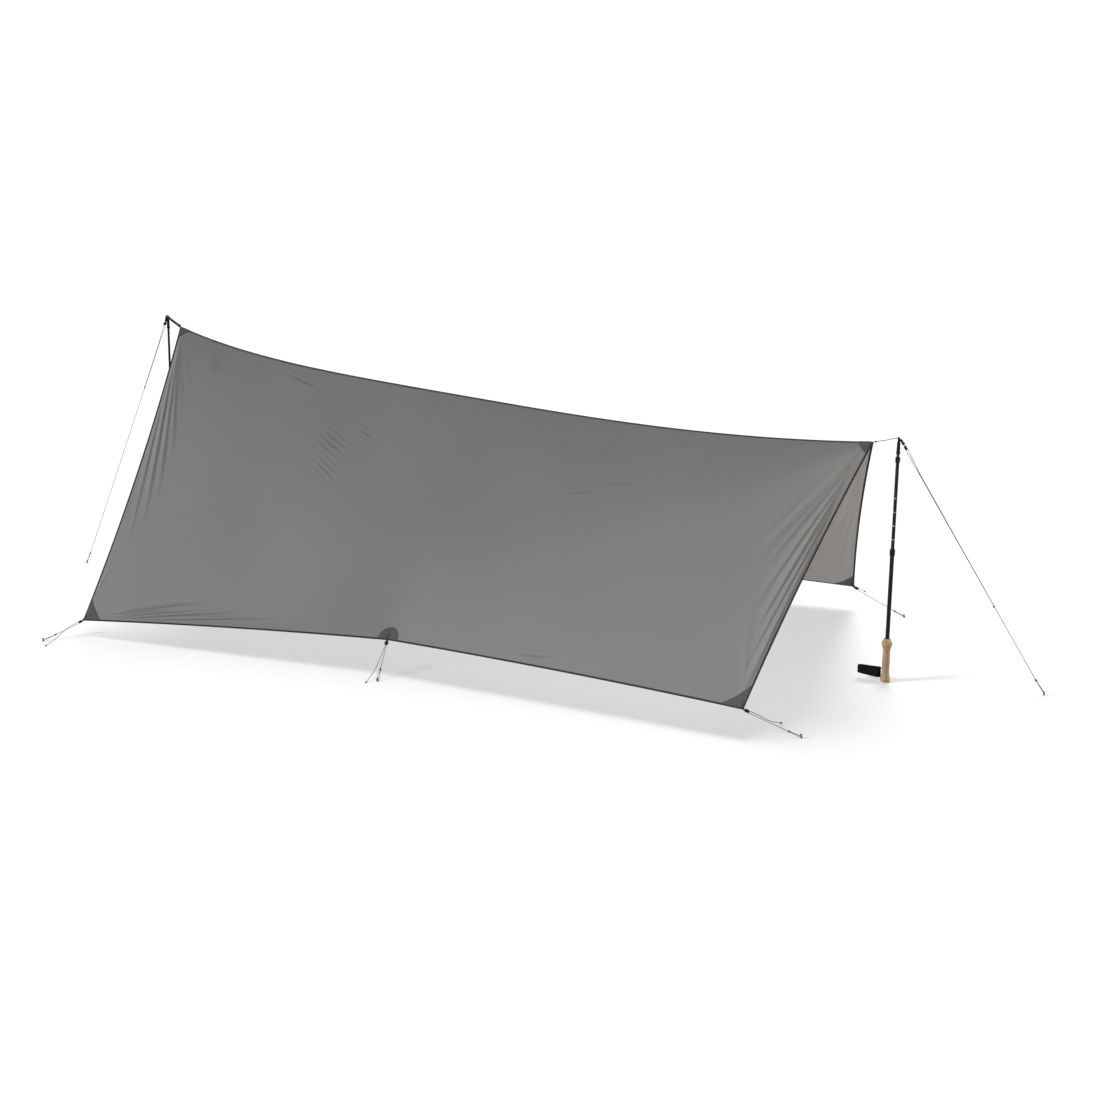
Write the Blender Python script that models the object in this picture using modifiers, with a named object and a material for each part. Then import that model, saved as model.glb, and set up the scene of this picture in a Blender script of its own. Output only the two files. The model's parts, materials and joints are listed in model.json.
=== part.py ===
# A ridge tarp pitched as an A-frame between two upside-down walking poles.
# Metres, +Z up. +X runs along the ridge from the tall end to the low end, -Y is the near side.
# The origin is on the ground, midway between the feet of the two poles.

import math

import bmesh
import bpy
from mathutils import Matrix, Vector

# Pitch: where the corners, peaks and tie points of the tarp stand
TALL_PEAK = Vector((-1.575, 0.0, 1.218))
LOW_PEAK = Vector((1.655, 0.0, 0.881))
TALL_CORNER = Vector((-1.540, 0.834, 0.058))  # far side; the near side mirrors it
LOW_CORNER = Vector((1.419, 0.698, 0.090))
SIDE_TIE = Vector((-0.060, 0.658, 0.116))
RIDGE_SAG = 0.093
RIDGE_POWER_TALL = 4.0  # how fast the ridge dips away from the tall peak
RIDGE_POWER_LOW = 2.7
TALL_EDGE_BOW = 0.028
LOW_EDGE_BOW = 0.012
LONG_EDGE_BOW = 0.008

# Cloth and what is sewn to it
CLOTH_THICKNESS = 0.0005
HEM_RADIUS = 0.0025
CLEARANCE = 0.0003  # between pieces that touch
PATCH_THICKNESS = 0.0008
PATCH_LIFT = 0.0005  # patch above cloth
FOLD_RISE = 0.0014  # a folded patch stands this much higher along the ridge than on the slopes
CORNER_PATCH_LEG = 0.095
PEAK_PATCH_LEG = 0.065
SIDE_PATCH_RADIUS = 0.050
PATCH_START = 0.010  # distance from the corner to the patch's tip
STATIONS_ALONG = 20
STATIONS_DOWN = 10

# Line adjusters, lines and pegs
ADJUSTER_THICKNESS = 0.0034
ADJUSTER_WIDTH = 0.014
ADJUSTER_NECK_WIDTH = 0.005
ADJUSTER_NECK = 0.004
ADJUSTER_LENGTH = 0.020
ADJUSTER_BAR = 0.0035
ADJUSTER_WINDOW = 0.007
ADJUSTER_WINDOW_WIDTH = 0.006
LINE_RADIUS = 0.001
LINE_TURN = 0.004  # radius of a line's turn round its adjuster's bar
LINE_HEIGHT = 0.003  # of a line where it meets its peg
PEG_SHAFT_RADIUS = 0.0022
PEG_HEAD_RADIUS = 0.0045
PEG_SHAFT_HEIGHT = 0.011
PEG_HEAD_HEIGHT = 0.0025
TALL_PEAK_CORD_RADIUS = 0.0035  # a hank of the line, drawn tight
LOW_PEAK_CORD_RADIUS = 0.00125
CORD_BELOW_TIP = 0.008  # where a peak cord passes its pole's tip
ADJUSTER_FROM_TIP = 0.036

# Where the lines are pegged, and the hand-laid route of each loose tail, past its adjuster
CORNER_LINES = {
    "tall_near": ((-1.632, -0.982, 0), [(-1.566, -0.905, 0.040), (-1.572, -0.960, 0.016),
                                        (-1.573, -1.020, 0.0015)]),
    "tall_far": ((-1.640, 0.985, 0), [(-1.566, 0.905, 0.040), (-1.580, 0.955, 0.018),
                                      (-1.588, 1.012, 0.0015)]),
    "side_near": ((-0.019, -0.797, 0), [(-0.052, -0.713, 0.074), (-0.052, -0.765, 0.030),
                                        (-0.053, -0.825, 0.0015)]),
    "side_far": ((-0.020, 0.800, 0), [(-0.054, 0.713, 0.074), (-0.058, 0.765, 0.030),
                                      (-0.062, 0.822, 0.0015)]),
    "low_near": ((1.609, -0.655, 0), [(1.464, -0.672, 0.065), (1.489, -0.622, 0.027),
                                      (1.511, -0.572, 0.0015)]),
    "low_far": ((1.650, 0.639, 0), [(1.453, 0.692, 0.083), (1.468, 0.690, 0.077)]),
}
TALL_RIDGE_PEG = Vector((-2.351, -0.061, 0))
LOW_RIDGE_PEG = Vector((2.287, 0.019, 0))
TALL_RIDGE_TAIL = 0.340  # length past the adjuster, laid along its own line
LOW_RIDGE_TAIL = 0.640

# Poles: foot and tip as pitched, and how far each section stands out of the one below
TALL_FOOT = Vector((-1.745, -0.052, 0.0))
TALL_TIP = Vector((-1.661, 0.017, 1.270))
LOW_FOOT = Vector((1.745, -0.070, 0.0))
LOW_TIP = Vector((1.745, 0.004, 0.907))
GRIP_LENGTH = 0.164
UPPER_TUBE_SHOWN = 0.311
UPPER_COLLAR_LENGTH = 0.024
LOWER_COLLAR_LENGTH = 0.020
LOW_SHAFT_SHOWN = 0.011
TALL_SHAFT_SHOWN = 0.3296
TIP_SLEEVE_LENGTH = 0.065
UPPER_TUBE_RADIUS = 0.0075
UPPER_TUBE_WALL = 0.001
MIDDLE_TUBE_RADIUS = UPPER_TUBE_RADIUS - UPPER_TUBE_WALL - CLEARANCE
MIDDLE_TUBE_WALL = 0.0009
MIDDLE_TUBE_LENGTH = 0.450
TIP_SHAFT_RADIUS = MIDDLE_TUBE_RADIUS - MIDDLE_TUBE_WALL - CLEARANCE
TIP_SHAFT_WALL = 0.0009
TIP_SHAFT_MARGIN = 0.004  # between the two locks when the tip shaft is pushed right in
UPPER_COLLAR_WALL = 0.0022  # over the tube that carries it
LOWER_COLLAR_WALL = 0.0025
COLLAR_OVERLAP = 0.010  # of each collar over the tube that carries it
TIP_RADIUS = 0.003
RING_RADIUS = 0.0085
GRIP_BASE_RADIUS = 0.013
GRIP_FLARE_RADIUS = 0.0195
GRIP_WAIST_RADIUS = 0.014
GRIP_SHOULDER_RADIUS = 0.021
GRIP_NECK_RADIUS = 0.0115
GRIP_HEEL_RADIUS = 0.0165  # where the flare of the foot ends and the strap comes out
GRIP_HEEL_HEIGHT = 0.022
GRIP_FLOOR = 0.012  # grip left solid below the tube
EXPANDER_LENGTH = 0.014
SPIGOT_LENGTH = 0.012
SPIGOT_RADIUS = 0.003
STRAP_LENGTH = 0.0865
STRAP_GAP_WIDTH = 0.020
STRAP_WIDTH = 0.028
STRAP_THICKNESS = 0.0016
ROUND_STEPS = 20
PEG_STEPS = 12


def clear_scene():
    for obj in list(bpy.data.objects):
        bpy.data.objects.remove(obj, do_unlink=True)


def material(name, colour, roughness, metallic=0.0):
    made = bpy.data.materials.new(name)
    made.use_nodes = True
    shader = made.node_tree.nodes["Principled BSDF"]
    shader.inputs["Base Color"].default_value = (*colour, 1.0)
    shader.inputs["Roughness"].default_value = roughness
    shader.inputs["Metallic"].default_value = metallic
    return made


def place(name, data, mat, parent=None, location=(0, 0, 0)):
    obj = bpy.data.objects.new(name, data)
    data.materials.append(mat)
    parts.objects.link(obj)
    obj.parent = parent
    obj.location = location
    return obj


def unit_toward(start, end):
    return (end - start).normalized()


# The tarp's four outlines, on the far side (+Y). along and down run from 0 to 1.


def ridge_point(along):
    power = RIDGE_POWER_TALL if along < 0.5 else RIDGE_POWER_LOW
    sag = RIDGE_SAG * (1 - abs(2 * along - 1) ** power)
    return TALL_PEAK.lerp(LOW_PEAK, along) - Vector((0, 0, sag))


def bowed(start, end, inside, bow, share):
    chord = end - start
    inward = inside - start
    inward -= chord * (inward.dot(chord) / chord.length_squared)
    return start + chord * share + inward.normalized() * bow * 4 * share * (1 - share)


def tall_edge(down):
    return bowed(TALL_PEAK, TALL_CORNER, LOW_PEAK, TALL_EDGE_BOW, down)


def low_edge(down):
    return bowed(LOW_PEAK, LOW_CORNER, TALL_PEAK, LOW_EDGE_BOW, down)


def long_edge(along):
    if along < 0.5:
        return bowed(TALL_CORNER, SIDE_TIE, TALL_PEAK, LONG_EDGE_BOW, along * 2)
    return bowed(SIDE_TIE, LOW_CORNER, LOW_PEAK, LONG_EDGE_BOW, along * 2 - 1)


def cloth_point(along, down):
    """A point of the far panel: the smooth blend of its four outlines."""
    ridge_to_hem = ridge_point(along).lerp(long_edge(along), down)
    end_to_end = tall_edge(down).lerp(low_edge(down), along)
    flat = TALL_PEAK.lerp(LOW_PEAK, along).lerp(TALL_CORNER.lerp(LOW_CORNER, along), down)
    return ridge_to_hem + end_to_end - flat


def cloth_normal(along, down):
    """Outward normal of the far panel."""
    step = 0.002
    here = min(max(along, step), 1 - step)
    there = min(max(down, step), 1 - step)
    lengthwise = cloth_point(here + step, there) - cloth_point(here - step, there)
    downward = cloth_point(here, there + step) - cloth_point(here, there - step)
    return lengthwise.cross(downward).normalized()


def on_side(point, side):
    """The same point on the far side (1) or the near side (-1)."""
    return Vector((point.x, point.y * side, point.z))


def stations(count):
    """From 0 to 1, closer together at both ends."""
    return [0.5 - 0.5 * math.cos(math.pi * i / count) for i in range(count + 1)]


def inset(share, length):
    """Keeps a share of a length clear of the hem beads at both ends."""
    margin = (HEM_RADIUS + CLEARANCE) / length
    return min(max(share, margin), 1 - margin)


def grid_sheet(name, rows, mat, thickness):
    """A closed sheet through a grid of points, half its thickness to each side."""
    shape = bmesh.new()
    across = len(rows[0])
    bmesh.ops.create_grid(shape, x_segments=across - 1, y_segments=len(rows) - 1, size=1)
    shape.verts.ensure_lookup_table()
    for index, vert in enumerate(shape.verts):
        vert.co = rows[index // across][index % across]
    mesh = bpy.data.meshes.new(name)
    shape.to_mesh(mesh)
    shape.free()
    obj = place(name, mesh, mat)
    wall = obj.modifiers.new("Thickness", "SOLIDIFY")
    wall.thickness = thickness
    wall.offset = 0
    return obj


def tube(name, points, radius, mat, sides=2):
    """A round bead or cord along a line of points."""
    curve = bpy.data.curves.new(name, "CURVE")
    curve.dimensions = "3D"
    curve.bevel_depth = radius
    curve.bevel_resolution = sides
    curve.use_fill_caps = True
    spline = curve.splines.new("POLY")
    spline.points.add(len(points) - 1)
    for knot, point in zip(spline.points, points):
        knot.co = (*point, 1)
    return place(name, curve, mat)


def make_panel(name, side):
    ridge_length = (LOW_PEAK - TALL_PEAK).length
    rows = []
    for down in stations(STATIONS_DOWN):
        row = []
        for along in stations(STATIONS_ALONG):
            slope_length = (long_edge(along) - ridge_point(along)).length
            point = cloth_point(inset(along, ridge_length), inset(down, slope_length))
            row.append(on_side(point, side))
        rows.append(row)
    grid_sheet(name, rows, cloth, CLOTH_THICKNESS)


def make_end_hem(name, edge, peak):
    """One bead down both slopes of an end, from the near corner over the peak to the far one."""
    downs = stations(STATIONS_DOWN)
    near = [on_side(edge(down), -1) for down in reversed(downs[1:])]
    far = [edge(down) for down in downs[1:]]
    tube(name, [*near, peak, *far], HEM_RADIUS, trim)


def shortened(points, by):
    """The line of points with a length cut off at each end."""
    cut = list(points)
    cut[0] = cut[0] + unit_toward(cut[0], cut[1]) * by
    cut[-1] = cut[-1] + unit_toward(cut[-1], cut[-2]) * by
    return cut


def make_patch(name, side, corner, legs, power, turn, lift):
    """A reinforcement round a corner of the cloth, its outline a superellipse of the given power.

    corner and legs are in along and down, turn is the swept angle from the first leg."""
    rows = []
    for ring in range(5):
        row = []
        for step in range(9):
            angle = turn * step / 8
            across, below = math.cos(angle), math.sin(angle)
            reach = (abs(across) ** power + abs(below) ** power) ** (-1 / power)
            start = PATCH_START / CORNER_PATCH_LEG
            share = start + (1 - start) * ring / 4
            along = corner[0] + legs[0] * share * reach * across
            down = corner[1] + legs[1] * share * reach * below
            normal = cloth_normal(along, down) * lift
            row.append(on_side(cloth_point(along, down) + normal, side))
        rows.append(row)
    grid_sheet(name, rows, patch_cloth, PATCH_THICKNESS)


def make_peak_patch(name, peak_along, leg):
    """One patch folded over the ridge: a fan from the near slope to the far one."""
    ridge_length = (LOW_PEAK - TALL_PEAK).length
    slope_length = (long_edge(peak_along) - ridge_point(peak_along)).length
    lift = HEM_RADIUS + CLEARANCE + PATCH_THICKNESS
    toward = 1 if peak_along < 0.5 else -1
    margin = HEM_RADIUS + CLEARANCE
    rows = []
    for ring in range(5):
        reach = PATCH_START + (leg - PATCH_START) * ring / 4
        row = []
        for step in range(-6, 7):
            angle = math.radians(90) * (abs(step) / 6) ** 1.5
            along = peak_along + toward * (margin + reach * math.cos(angle)) / ridge_length
            down = reach * math.sin(angle) / slope_length
            normal = cloth_normal(along, down)
            height = lift
            if step == 0:
                normal = Vector((normal.x, 0, normal.z)).normalized()
                height = lift + FOLD_RISE
            row.append(on_side(cloth_point(along, down) + normal * height, 1 if step > 0 else -1))
        rows.append(row)
    grid_sheet(name, rows, patch_cloth, PATCH_THICKNESS)


def corner_legs(along_toward, down_toward, slope_length):
    ridge_length = (LOW_PEAK - TALL_PEAK).length
    return (along_toward * CORNER_PATCH_LEG / ridge_length, down_toward * CORNER_PATCH_LEG / slope_length)


def make_canopy():
    ridge_length = (LOW_PEAK - TALL_PEAK).length
    tall_slope = (TALL_CORNER - TALL_PEAK).length
    low_slope = (LOW_CORNER - LOW_PEAK).length
    side_slope = (SIDE_TIE - ridge_point(0.5)).length
    bead = HEM_RADIUS + CLEARANCE
    lift = CLOTH_THICKNESS / 2 + PATCH_LIFT + PATCH_THICKNESS / 2
    ridge = [ridge_point(along) for along in stations(STATIONS_ALONG)]
    tube("ridge_seam", shortened(ridge, 2 * HEM_RADIUS), HEM_RADIUS, trim)
    make_end_hem("tall_end_hem", tall_edge, TALL_PEAK)
    make_end_hem("low_end_hem", low_edge, LOW_PEAK)
    make_peak_patch("tall_peak_patch", 0.0, PEAK_PATCH_LEG)
    make_peak_patch("low_peak_patch", 1.0, PEAK_PATCH_LEG)
    for place_name, side in (("near", -1), ("far", 1)):
        make_panel(f"{place_name}_panel", side)
        hem = [on_side(long_edge(along), side) for along in stations(STATIONS_ALONG)]
        tube(f"{place_name}_hem", shortened(hem, 2 * HEM_RADIUS), HEM_RADIUS, trim)
        tall_corner = (bead / ridge_length, 1 - bead / tall_slope)
        make_patch(f"tall_{place_name}_patch", side, tall_corner, corner_legs(1, -1, tall_slope),
                   0.95, math.radians(90), lift)
        low_corner = (1 - bead / ridge_length, 1 - bead / low_slope)
        make_patch(f"low_{place_name}_patch", side, low_corner, corner_legs(-1, -1, low_slope),
                   0.8, math.radians(90), lift)
        half_round = (SIDE_PATCH_RADIUS / ridge_length, -SIDE_PATCH_RADIUS / side_slope)
        make_patch(f"side_{place_name}_patch", side, (0.5, 1 - bead / side_slope), half_round,
                   2.0, math.radians(180), lift)


# Lines. Each runs from its peg to an adjuster, turns round its bar and ends in a loose tail.


def make_adjuster_shape():
    """The adjuster's outline and window, lying flat: X points to the peg, its neck starts at 0."""
    neck, body = ADJUSTER_NECK_WIDTH / 2, ADJUSTER_WIDTH / 2
    front = ADJUSTER_LENGTH
    slope = (body - neck) / 2
    outline = [(0, -neck), (ADJUSTER_NECK, -neck), (ADJUSTER_NECK + slope, -body), (front - slope, -body),
               (front, -neck), (front, neck), (front - slope, body), (ADJUSTER_NECK + slope, body),
               (ADJUSTER_NECK, neck), (0, neck)]
    bar = front - ADJUSTER_BAR
    half = ADJUSTER_WINDOW_WIDTH / 2
    window = [(bar - ADJUSTER_WINDOW, -half), (bar, -half), (bar, half), (bar - ADJUSTER_WINDOW, half)]
    curve = flat_curve("line_adjuster", (outline, window), ADJUSTER_THICKNESS)
    curve.materials.append(black_plastic)
    return curve


def flat_curve(name, outlines, thickness):
    """A flat shape of that thickness, centred on its plane; later outlines cut the first."""
    curve = bpy.data.curves.new(name, "CURVE")
    curve.dimensions = "2D"
    curve.fill_mode = "BOTH"
    curve.extrude = thickness / 2
    for outline in outlines:
        spline = curve.splines.new("POLY")
        spline.points.add(len(outline) - 1)
        for knot, (x, y) in zip(spline.points, outline):
            knot.co = (x, y, 0, 1)
        spline.use_cyclic_u = True
    return curve


def line_axes(tie, peg_end):
    """Axes at a tie point: X toward the peg, Z out of the adjuster's upper face."""
    toward = unit_toward(tie, peg_end)
    across = Vector((0, 0, 1)).cross(toward).normalized()
    return toward, across, toward.cross(across)


def turn_point(tie, toward, upward, angle):
    """On the line's way round the bar: 0 degrees is below it, 180 above, on the neck's side of it."""
    inner = LINE_TURN - LINE_RADIUS - CLEARANCE
    centre = ADJUSTER_LENGTH - ADJUSTER_BAR + math.sqrt(inner**2 - (ADJUSTER_THICKNESS / 2)**2)
    back = LINE_TURN * math.sin(math.radians(angle))
    rise = -LINE_TURN * math.cos(math.radians(angle))
    return tie + toward * (centre - back) + upward * rise


def smooth_route(points, pieces):
    """Points of a smooth curve through the given ones, with so many pieces between each pair."""
    route = []
    for i in range(len(points) - 1):
        start, end = points[i], points[i + 1]
        before = points[max(i - 1, 0)]
        after = points[min(i + 2, len(points) - 1)]
        length = (end - start).length
        leave = (end - before).normalized() * length
        arrive = (after - start).normalized() * length
        for step in range(pieces):
            t = step / pieces
            route.append(start * (2 * t**3 - 3 * t**2 + 1) + leave * (t**3 - 2 * t**2 + t)
                         + end * (3 * t**2 - 2 * t**3) + arrive * (t**3 - t**2))
    return [*route, points[-1]]


def straight(start, end, pieces):
    """Points along a taut stretch, without its end."""
    return [start.lerp(end, i / pieces) for i in range(pieces)]


def make_line(name, tie, peg, tail, pieces):
    """tie is where the adjuster's neck starts. tail gives its route past the turn, or its length."""
    peg_end = peg + Vector((0, 0, LINE_HEIGHT))
    toward, across, upward = line_axes(tie, peg_end)
    adjuster = bpy.data.objects.new(f"{name}_adjuster", adjuster_shape)
    parts.objects.link(adjuster)
    adjuster.location = tie
    adjuster.rotation_euler = Matrix((toward, across, upward)).transposed().to_euler()

    level = Vector((-toward.x, -toward.y, 0)).normalized()
    start = peg_end + level * (PEG_SHAFT_RADIUS + CLEARANCE + LINE_RADIUS * abs(toward.z))
    turn = [turn_point(tie, toward, upward, angle) for angle in range(0, 181, 30)]
    if isinstance(tail, list):
        lead = turn[-1] + toward * 3 * LINE_RADIUS
        loose = smooth_route([lead, *(Vector(point) for point in tail)], 4)
    else:
        beside = start.lerp(turn[0], 1 - tail / (turn[0] - start).length)
        end = beside + upward * (2 * LINE_RADIUS + CLEARANCE)
        loose = [*straight(turn[-1], end, pieces // 2)[1:], end]
    tube(f"{name}_line", [*straight(start, turn[0], pieces), *turn, *loose], LINE_RADIUS, line_cord)
    make_peg(f"{name}_peg", peg)


def make_peg(name, foot):
    """What shows of a driven peg: the end of its shaft under a small flat head."""
    top = PEG_SHAFT_HEIGHT + PEG_HEAD_HEIGHT
    rim = PEG_HEAD_HEIGHT / 3
    profile = [(0, top), (PEG_HEAD_RADIUS - rim, top), (PEG_HEAD_RADIUS, top - rim),
               (PEG_HEAD_RADIUS, PEG_SHAFT_HEIGHT), (PEG_SHAFT_RADIUS, PEG_SHAFT_HEIGHT),
               (PEG_SHAFT_RADIUS, 0), (0, 0)]
    turned(name, profile, peg_metal, location=foot, steps=PEG_STEPS)


def make_hem_lines():
    """The six lines from the corners and the middles of the long edges."""
    for name, (peg, tail) in CORNER_LINES.items():
        end, side_name = name.split("_")
        side = -1 if side_name == "near" else 1
        hem_point = on_side({"tall": TALL_CORNER, "side": SIDE_TIE, "low": LOW_CORNER}[end], side)
        toward = unit_toward(hem_point, Vector(peg))
        if end == "side":  # the hem runs past the adjuster along X
            slant = abs(toward.x)
            reach = (HEM_RADIUS + CLEARANCE + slant * ADJUSTER_NECK_WIDTH / 2) / math.sqrt(1 - slant**2)
        else:  # the end hem stops at the corner
            edge = tall_edge if end == "tall" else low_edge
            hem_way = unit_toward(on_side(edge(0.95), side), hem_point)
            reach = CLEARANCE + HEM_RADIUS * math.sqrt(1 - hem_way.dot(toward)**2)
        make_line(name, hem_point + toward * reach, Vector(peg), tail, 12)


def make_ridge_line(name, peak, foot, tip, peg, cord_radius, tail):
    """A peak's cord past the near side of its pole's tip, and the line that holds it down."""
    axis = unit_toward(foot, tip)
    toward = unit_toward(tip, peg)
    tie = tip + toward * ADJUSTER_FROM_TIP
    nearward = Vector((0, -1, 0))
    nearward = (nearward - axis * nearward.dot(axis)).normalized()
    beside = tip - axis * CORD_BELOW_TIP + nearward * (TIP_RADIUS + CLEARANCE + cord_radius)
    start = peak + unit_toward(peak, beside) * (HEM_RADIUS + CLEARANCE)
    end = tie - toward * CLEARANCE
    before_end = end - toward * 3 * cord_radius
    route = smooth_route([start, start.lerp(beside, 0.5), beside, before_end, end], 5)
    tube(f"{name}_peak_cord", route, cord_radius, peak_cord)
    make_line(f"{name}_ridge", tie, peg, tail, 30)


def turned(name, profile, mat, parent=None, location=(0, 0, 0), steps=ROUND_STEPS, ring=False):
    """A turned piece. The profile is (radius, height), down its outer side; a ring's closes on itself."""
    shape = bmesh.new()
    verts = [shape.verts.new((radius, 0, height)) for radius, height in profile]
    pairs = list(zip(verts, verts[1:]))
    if ring:
        pairs.append((verts[-1], verts[0]))
    for pair in pairs:
        shape.edges.new(pair)
    mesh = bpy.data.meshes.new(name)
    shape.to_mesh(mesh)
    shape.free()
    obj = place(name, mesh, mat, parent, location)
    screw = obj.modifiers.new("Turn", "SCREW")
    screw.axis = "Z"
    screw.steps = steps
    screw.render_steps = steps
    screw.use_merge_vertices = True
    screw.merge_threshold = 1e-5
    screw.use_smooth_shade = True
    return obj


def tube_ring(outer, inner, bottom, top):
    """Profile of a plain length of tube."""
    return [(outer, top), (outer, bottom), (inner, bottom), (inner, top)]


def pole_empty(name, foot, tip, strap_sign):
    """The pole's own frame: its foot at the origin, Z up its axis, X level along its strap."""
    axis = unit_toward(foot, tip)
    lean = math.hypot(axis.x, axis.y)
    level = Vector((axis.y, -axis.x, 0)).normalized() * strap_sign
    empty = bpy.data.objects.new(name, None)
    parts.objects.link(empty)
    empty.location = foot + Vector((0, 0, GRIP_BASE_RADIUS * lean))
    empty.rotation_euler = Matrix((level, axis.cross(level), axis)).transposed().to_euler()
    return empty


def make_grip(name, empty):
    bore = UPPER_TUBE_RADIUS + CLEARANCE
    top = GRIP_LENGTH
    shoulder = top - 0.020
    profile = [(0, GRIP_FLOOR - CLEARANCE), (bore, GRIP_FLOOR - CLEARANCE), (bore, top),
               (GRIP_NECK_RADIUS, top), (GRIP_NECK_RADIUS + 0.003, top - 0.006),
               (GRIP_SHOULDER_RADIUS - 0.002, shoulder + 0.005), (GRIP_SHOULDER_RADIUS, shoulder),
               (GRIP_SHOULDER_RADIUS - 0.003, shoulder - 0.009), (GRIP_WAIST_RADIUS, shoulder - 0.024),
               (GRIP_WAIST_RADIUS + 0.0015, top * 0.45), (GRIP_WAIST_RADIUS, 0.040),
               (GRIP_HEEL_RADIUS, GRIP_HEEL_HEIGHT), (GRIP_FLARE_RADIUS, 0.012),
               (GRIP_FLARE_RADIUS - 0.002, 0.004), (GRIP_BASE_RADIUS, 0), (0, 0)]
    turned(name, profile, cork, empty)


def make_collar(name, empty, bottom, length, wall, carrier_radius, inner_radius):
    """A stepped sleeve at a tube's mouth: wide over the tube that carries it, narrow over the inner one."""
    radius = carrier_radius + wall
    step = bottom + COLLAR_OVERLAP
    top = bottom + length
    wide = carrier_radius + CLEARANCE
    narrow = inner_radius + CLEARANCE
    rim = 0.0015
    profile = [(radius - rim, top), (radius, top - rim), (radius, bottom + rim), (radius - rim, bottom),
               (wide, bottom), (wide, step), (narrow, step), (narrow, top)]
    turned(name, profile, black_plastic, empty, ring=True)


def make_expander(name, empty, tube_end, outer_bore):
    """The lock inside the joint of two tubes: a plug in the outer one, its spigot up in the inner one."""
    top = tube_end - CLEARANCE
    plug = outer_bore - CLEARANCE
    profile = [(0, top + SPIGOT_LENGTH), (SPIGOT_RADIUS, top + SPIGOT_LENGTH), (SPIGOT_RADIUS, top),
               (plug, top), (plug, top - EXPANDER_LENGTH), (0, top - EXPANDER_LENGTH)]
    turned(name, profile, red_plastic, empty)


def make_strap(name, empty):
    """The wrist strap: a closed loop of webbing on edge, hinged by its upper edge beside the grip."""
    start = GRIP_HEEL_RADIUS + CLEARANCE
    pivot = bpy.data.objects.new(f"{name}_pivot", None)
    parts.objects.link(pivot)
    pivot.parent = empty
    pivot.location = (start, 0, GRIP_HEEL_HEIGHT + STRAP_WIDTH)
    outer = STRAP_GAP_WIDTH / 2 + STRAP_THICKNESS
    outlines = [loop_outline(outer, outer, STRAP_LENGTH - outer),
                loop_outline(STRAP_GAP_WIDTH / 2, outer, STRAP_LENGTH - outer)]
    place(name, flat_curve(name, outlines, STRAP_WIDTH), webbing, pivot, (0, 0, -STRAP_WIDTH / 2))


def loop_outline(radius, near, far):
    """Two half circles round the near and the far centre on X, joined by straight sides."""
    outline = []
    for centre, first in ((far, -90), (near, 90)):
        for step in range(9):
            angle = math.radians(first + 180 * step / 8)
            outline.append((centre + radius * math.cos(angle), radius * math.sin(angle)))
    return outline


def make_pole(end, foot, tip, shaft_shown, strap_sign):
    """One telescopic pole standing on its grip, tip up. Heights run along the pole from its foot."""
    empty = pole_empty(f"{end}_pole_frame", foot, tip, strap_sign)
    length = (tip - foot).length
    upper_mouth = GRIP_LENGTH + UPPER_TUBE_SHOWN
    sleeve_start = length - TIP_SLEEVE_LENGTH
    middle_mouth = sleeve_start - shaft_shown - LOWER_COLLAR_LENGTH
    middle_bore = MIDDLE_TUBE_RADIUS - MIDDLE_TUBE_WALL
    upper_bore = UPPER_TUBE_RADIUS - UPPER_TUBE_WALL

    make_grip(f"{end}_grip", empty)
    upper_top = upper_mouth + COLLAR_OVERLAP - CLEARANCE
    turned(f"{end}_upper_tube", tube_ring(UPPER_TUBE_RADIUS, upper_bore, GRIP_FLOOR, upper_top),
           pole_carbon, empty, ring=True)
    make_collar(f"{end}_upper_collar", empty, upper_mouth, UPPER_COLLAR_LENGTH,
                UPPER_COLLAR_WALL, UPPER_TUBE_RADIUS, MIDDLE_TUBE_RADIUS)

    middle_top = middle_mouth + COLLAR_OVERLAP - CLEARANCE
    middle_end = middle_top - MIDDLE_TUBE_LENGTH
    turned(f"{end}_middle_tube", tube_ring(MIDDLE_TUBE_RADIUS, middle_bore, middle_end, middle_top),
           pole_carbon, empty, ring=True)
    make_expander(f"{end}_upper_expander", empty, middle_end, upper_bore)
    make_collar(f"{end}_lower_collar", empty, middle_mouth, LOWER_COLLAR_LENGTH,
                LOWER_COLLAR_WALL, MIDDLE_TUBE_RADIUS, TIP_SHAFT_RADIUS)

    shaft_length = (LOWER_COLLAR_LENGTH + MIDDLE_TUBE_LENGTH - COLLAR_OVERLAP
                    - SPIGOT_LENGTH - EXPANDER_LENGTH - TIP_SHAFT_MARGIN)
    shaft_end = sleeve_start - shaft_length
    make_expander(f"{end}_lower_expander", empty, shaft_end, middle_bore)
    shaft_bore = TIP_SHAFT_RADIUS - TIP_SHAFT_WALL
    ring_top = sleeve_start + 0.004
    profile = [(0, length), (TIP_RADIUS * 0.6, length), (TIP_RADIUS, length - 0.012),
               (TIP_SHAFT_RADIUS + 0.0008, length - 0.030), (TIP_SHAFT_RADIUS + 0.0015, ring_top + 0.002),
               (RING_RADIUS, ring_top), (RING_RADIUS, sleeve_start), (TIP_SHAFT_RADIUS, sleeve_start - 0.001),
               (TIP_SHAFT_RADIUS, shaft_end), (shaft_bore, shaft_end),
               (shaft_bore, sleeve_start), (0, sleeve_start)]
    turned(f"{end}_tip_section", profile, pole_carbon, empty)
    make_strap(f"{end}_strap", empty)


clear_scene()
parts = bpy.data.collections.new("camping_tarp")
bpy.context.scene.collection.children.link(parts)

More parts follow.
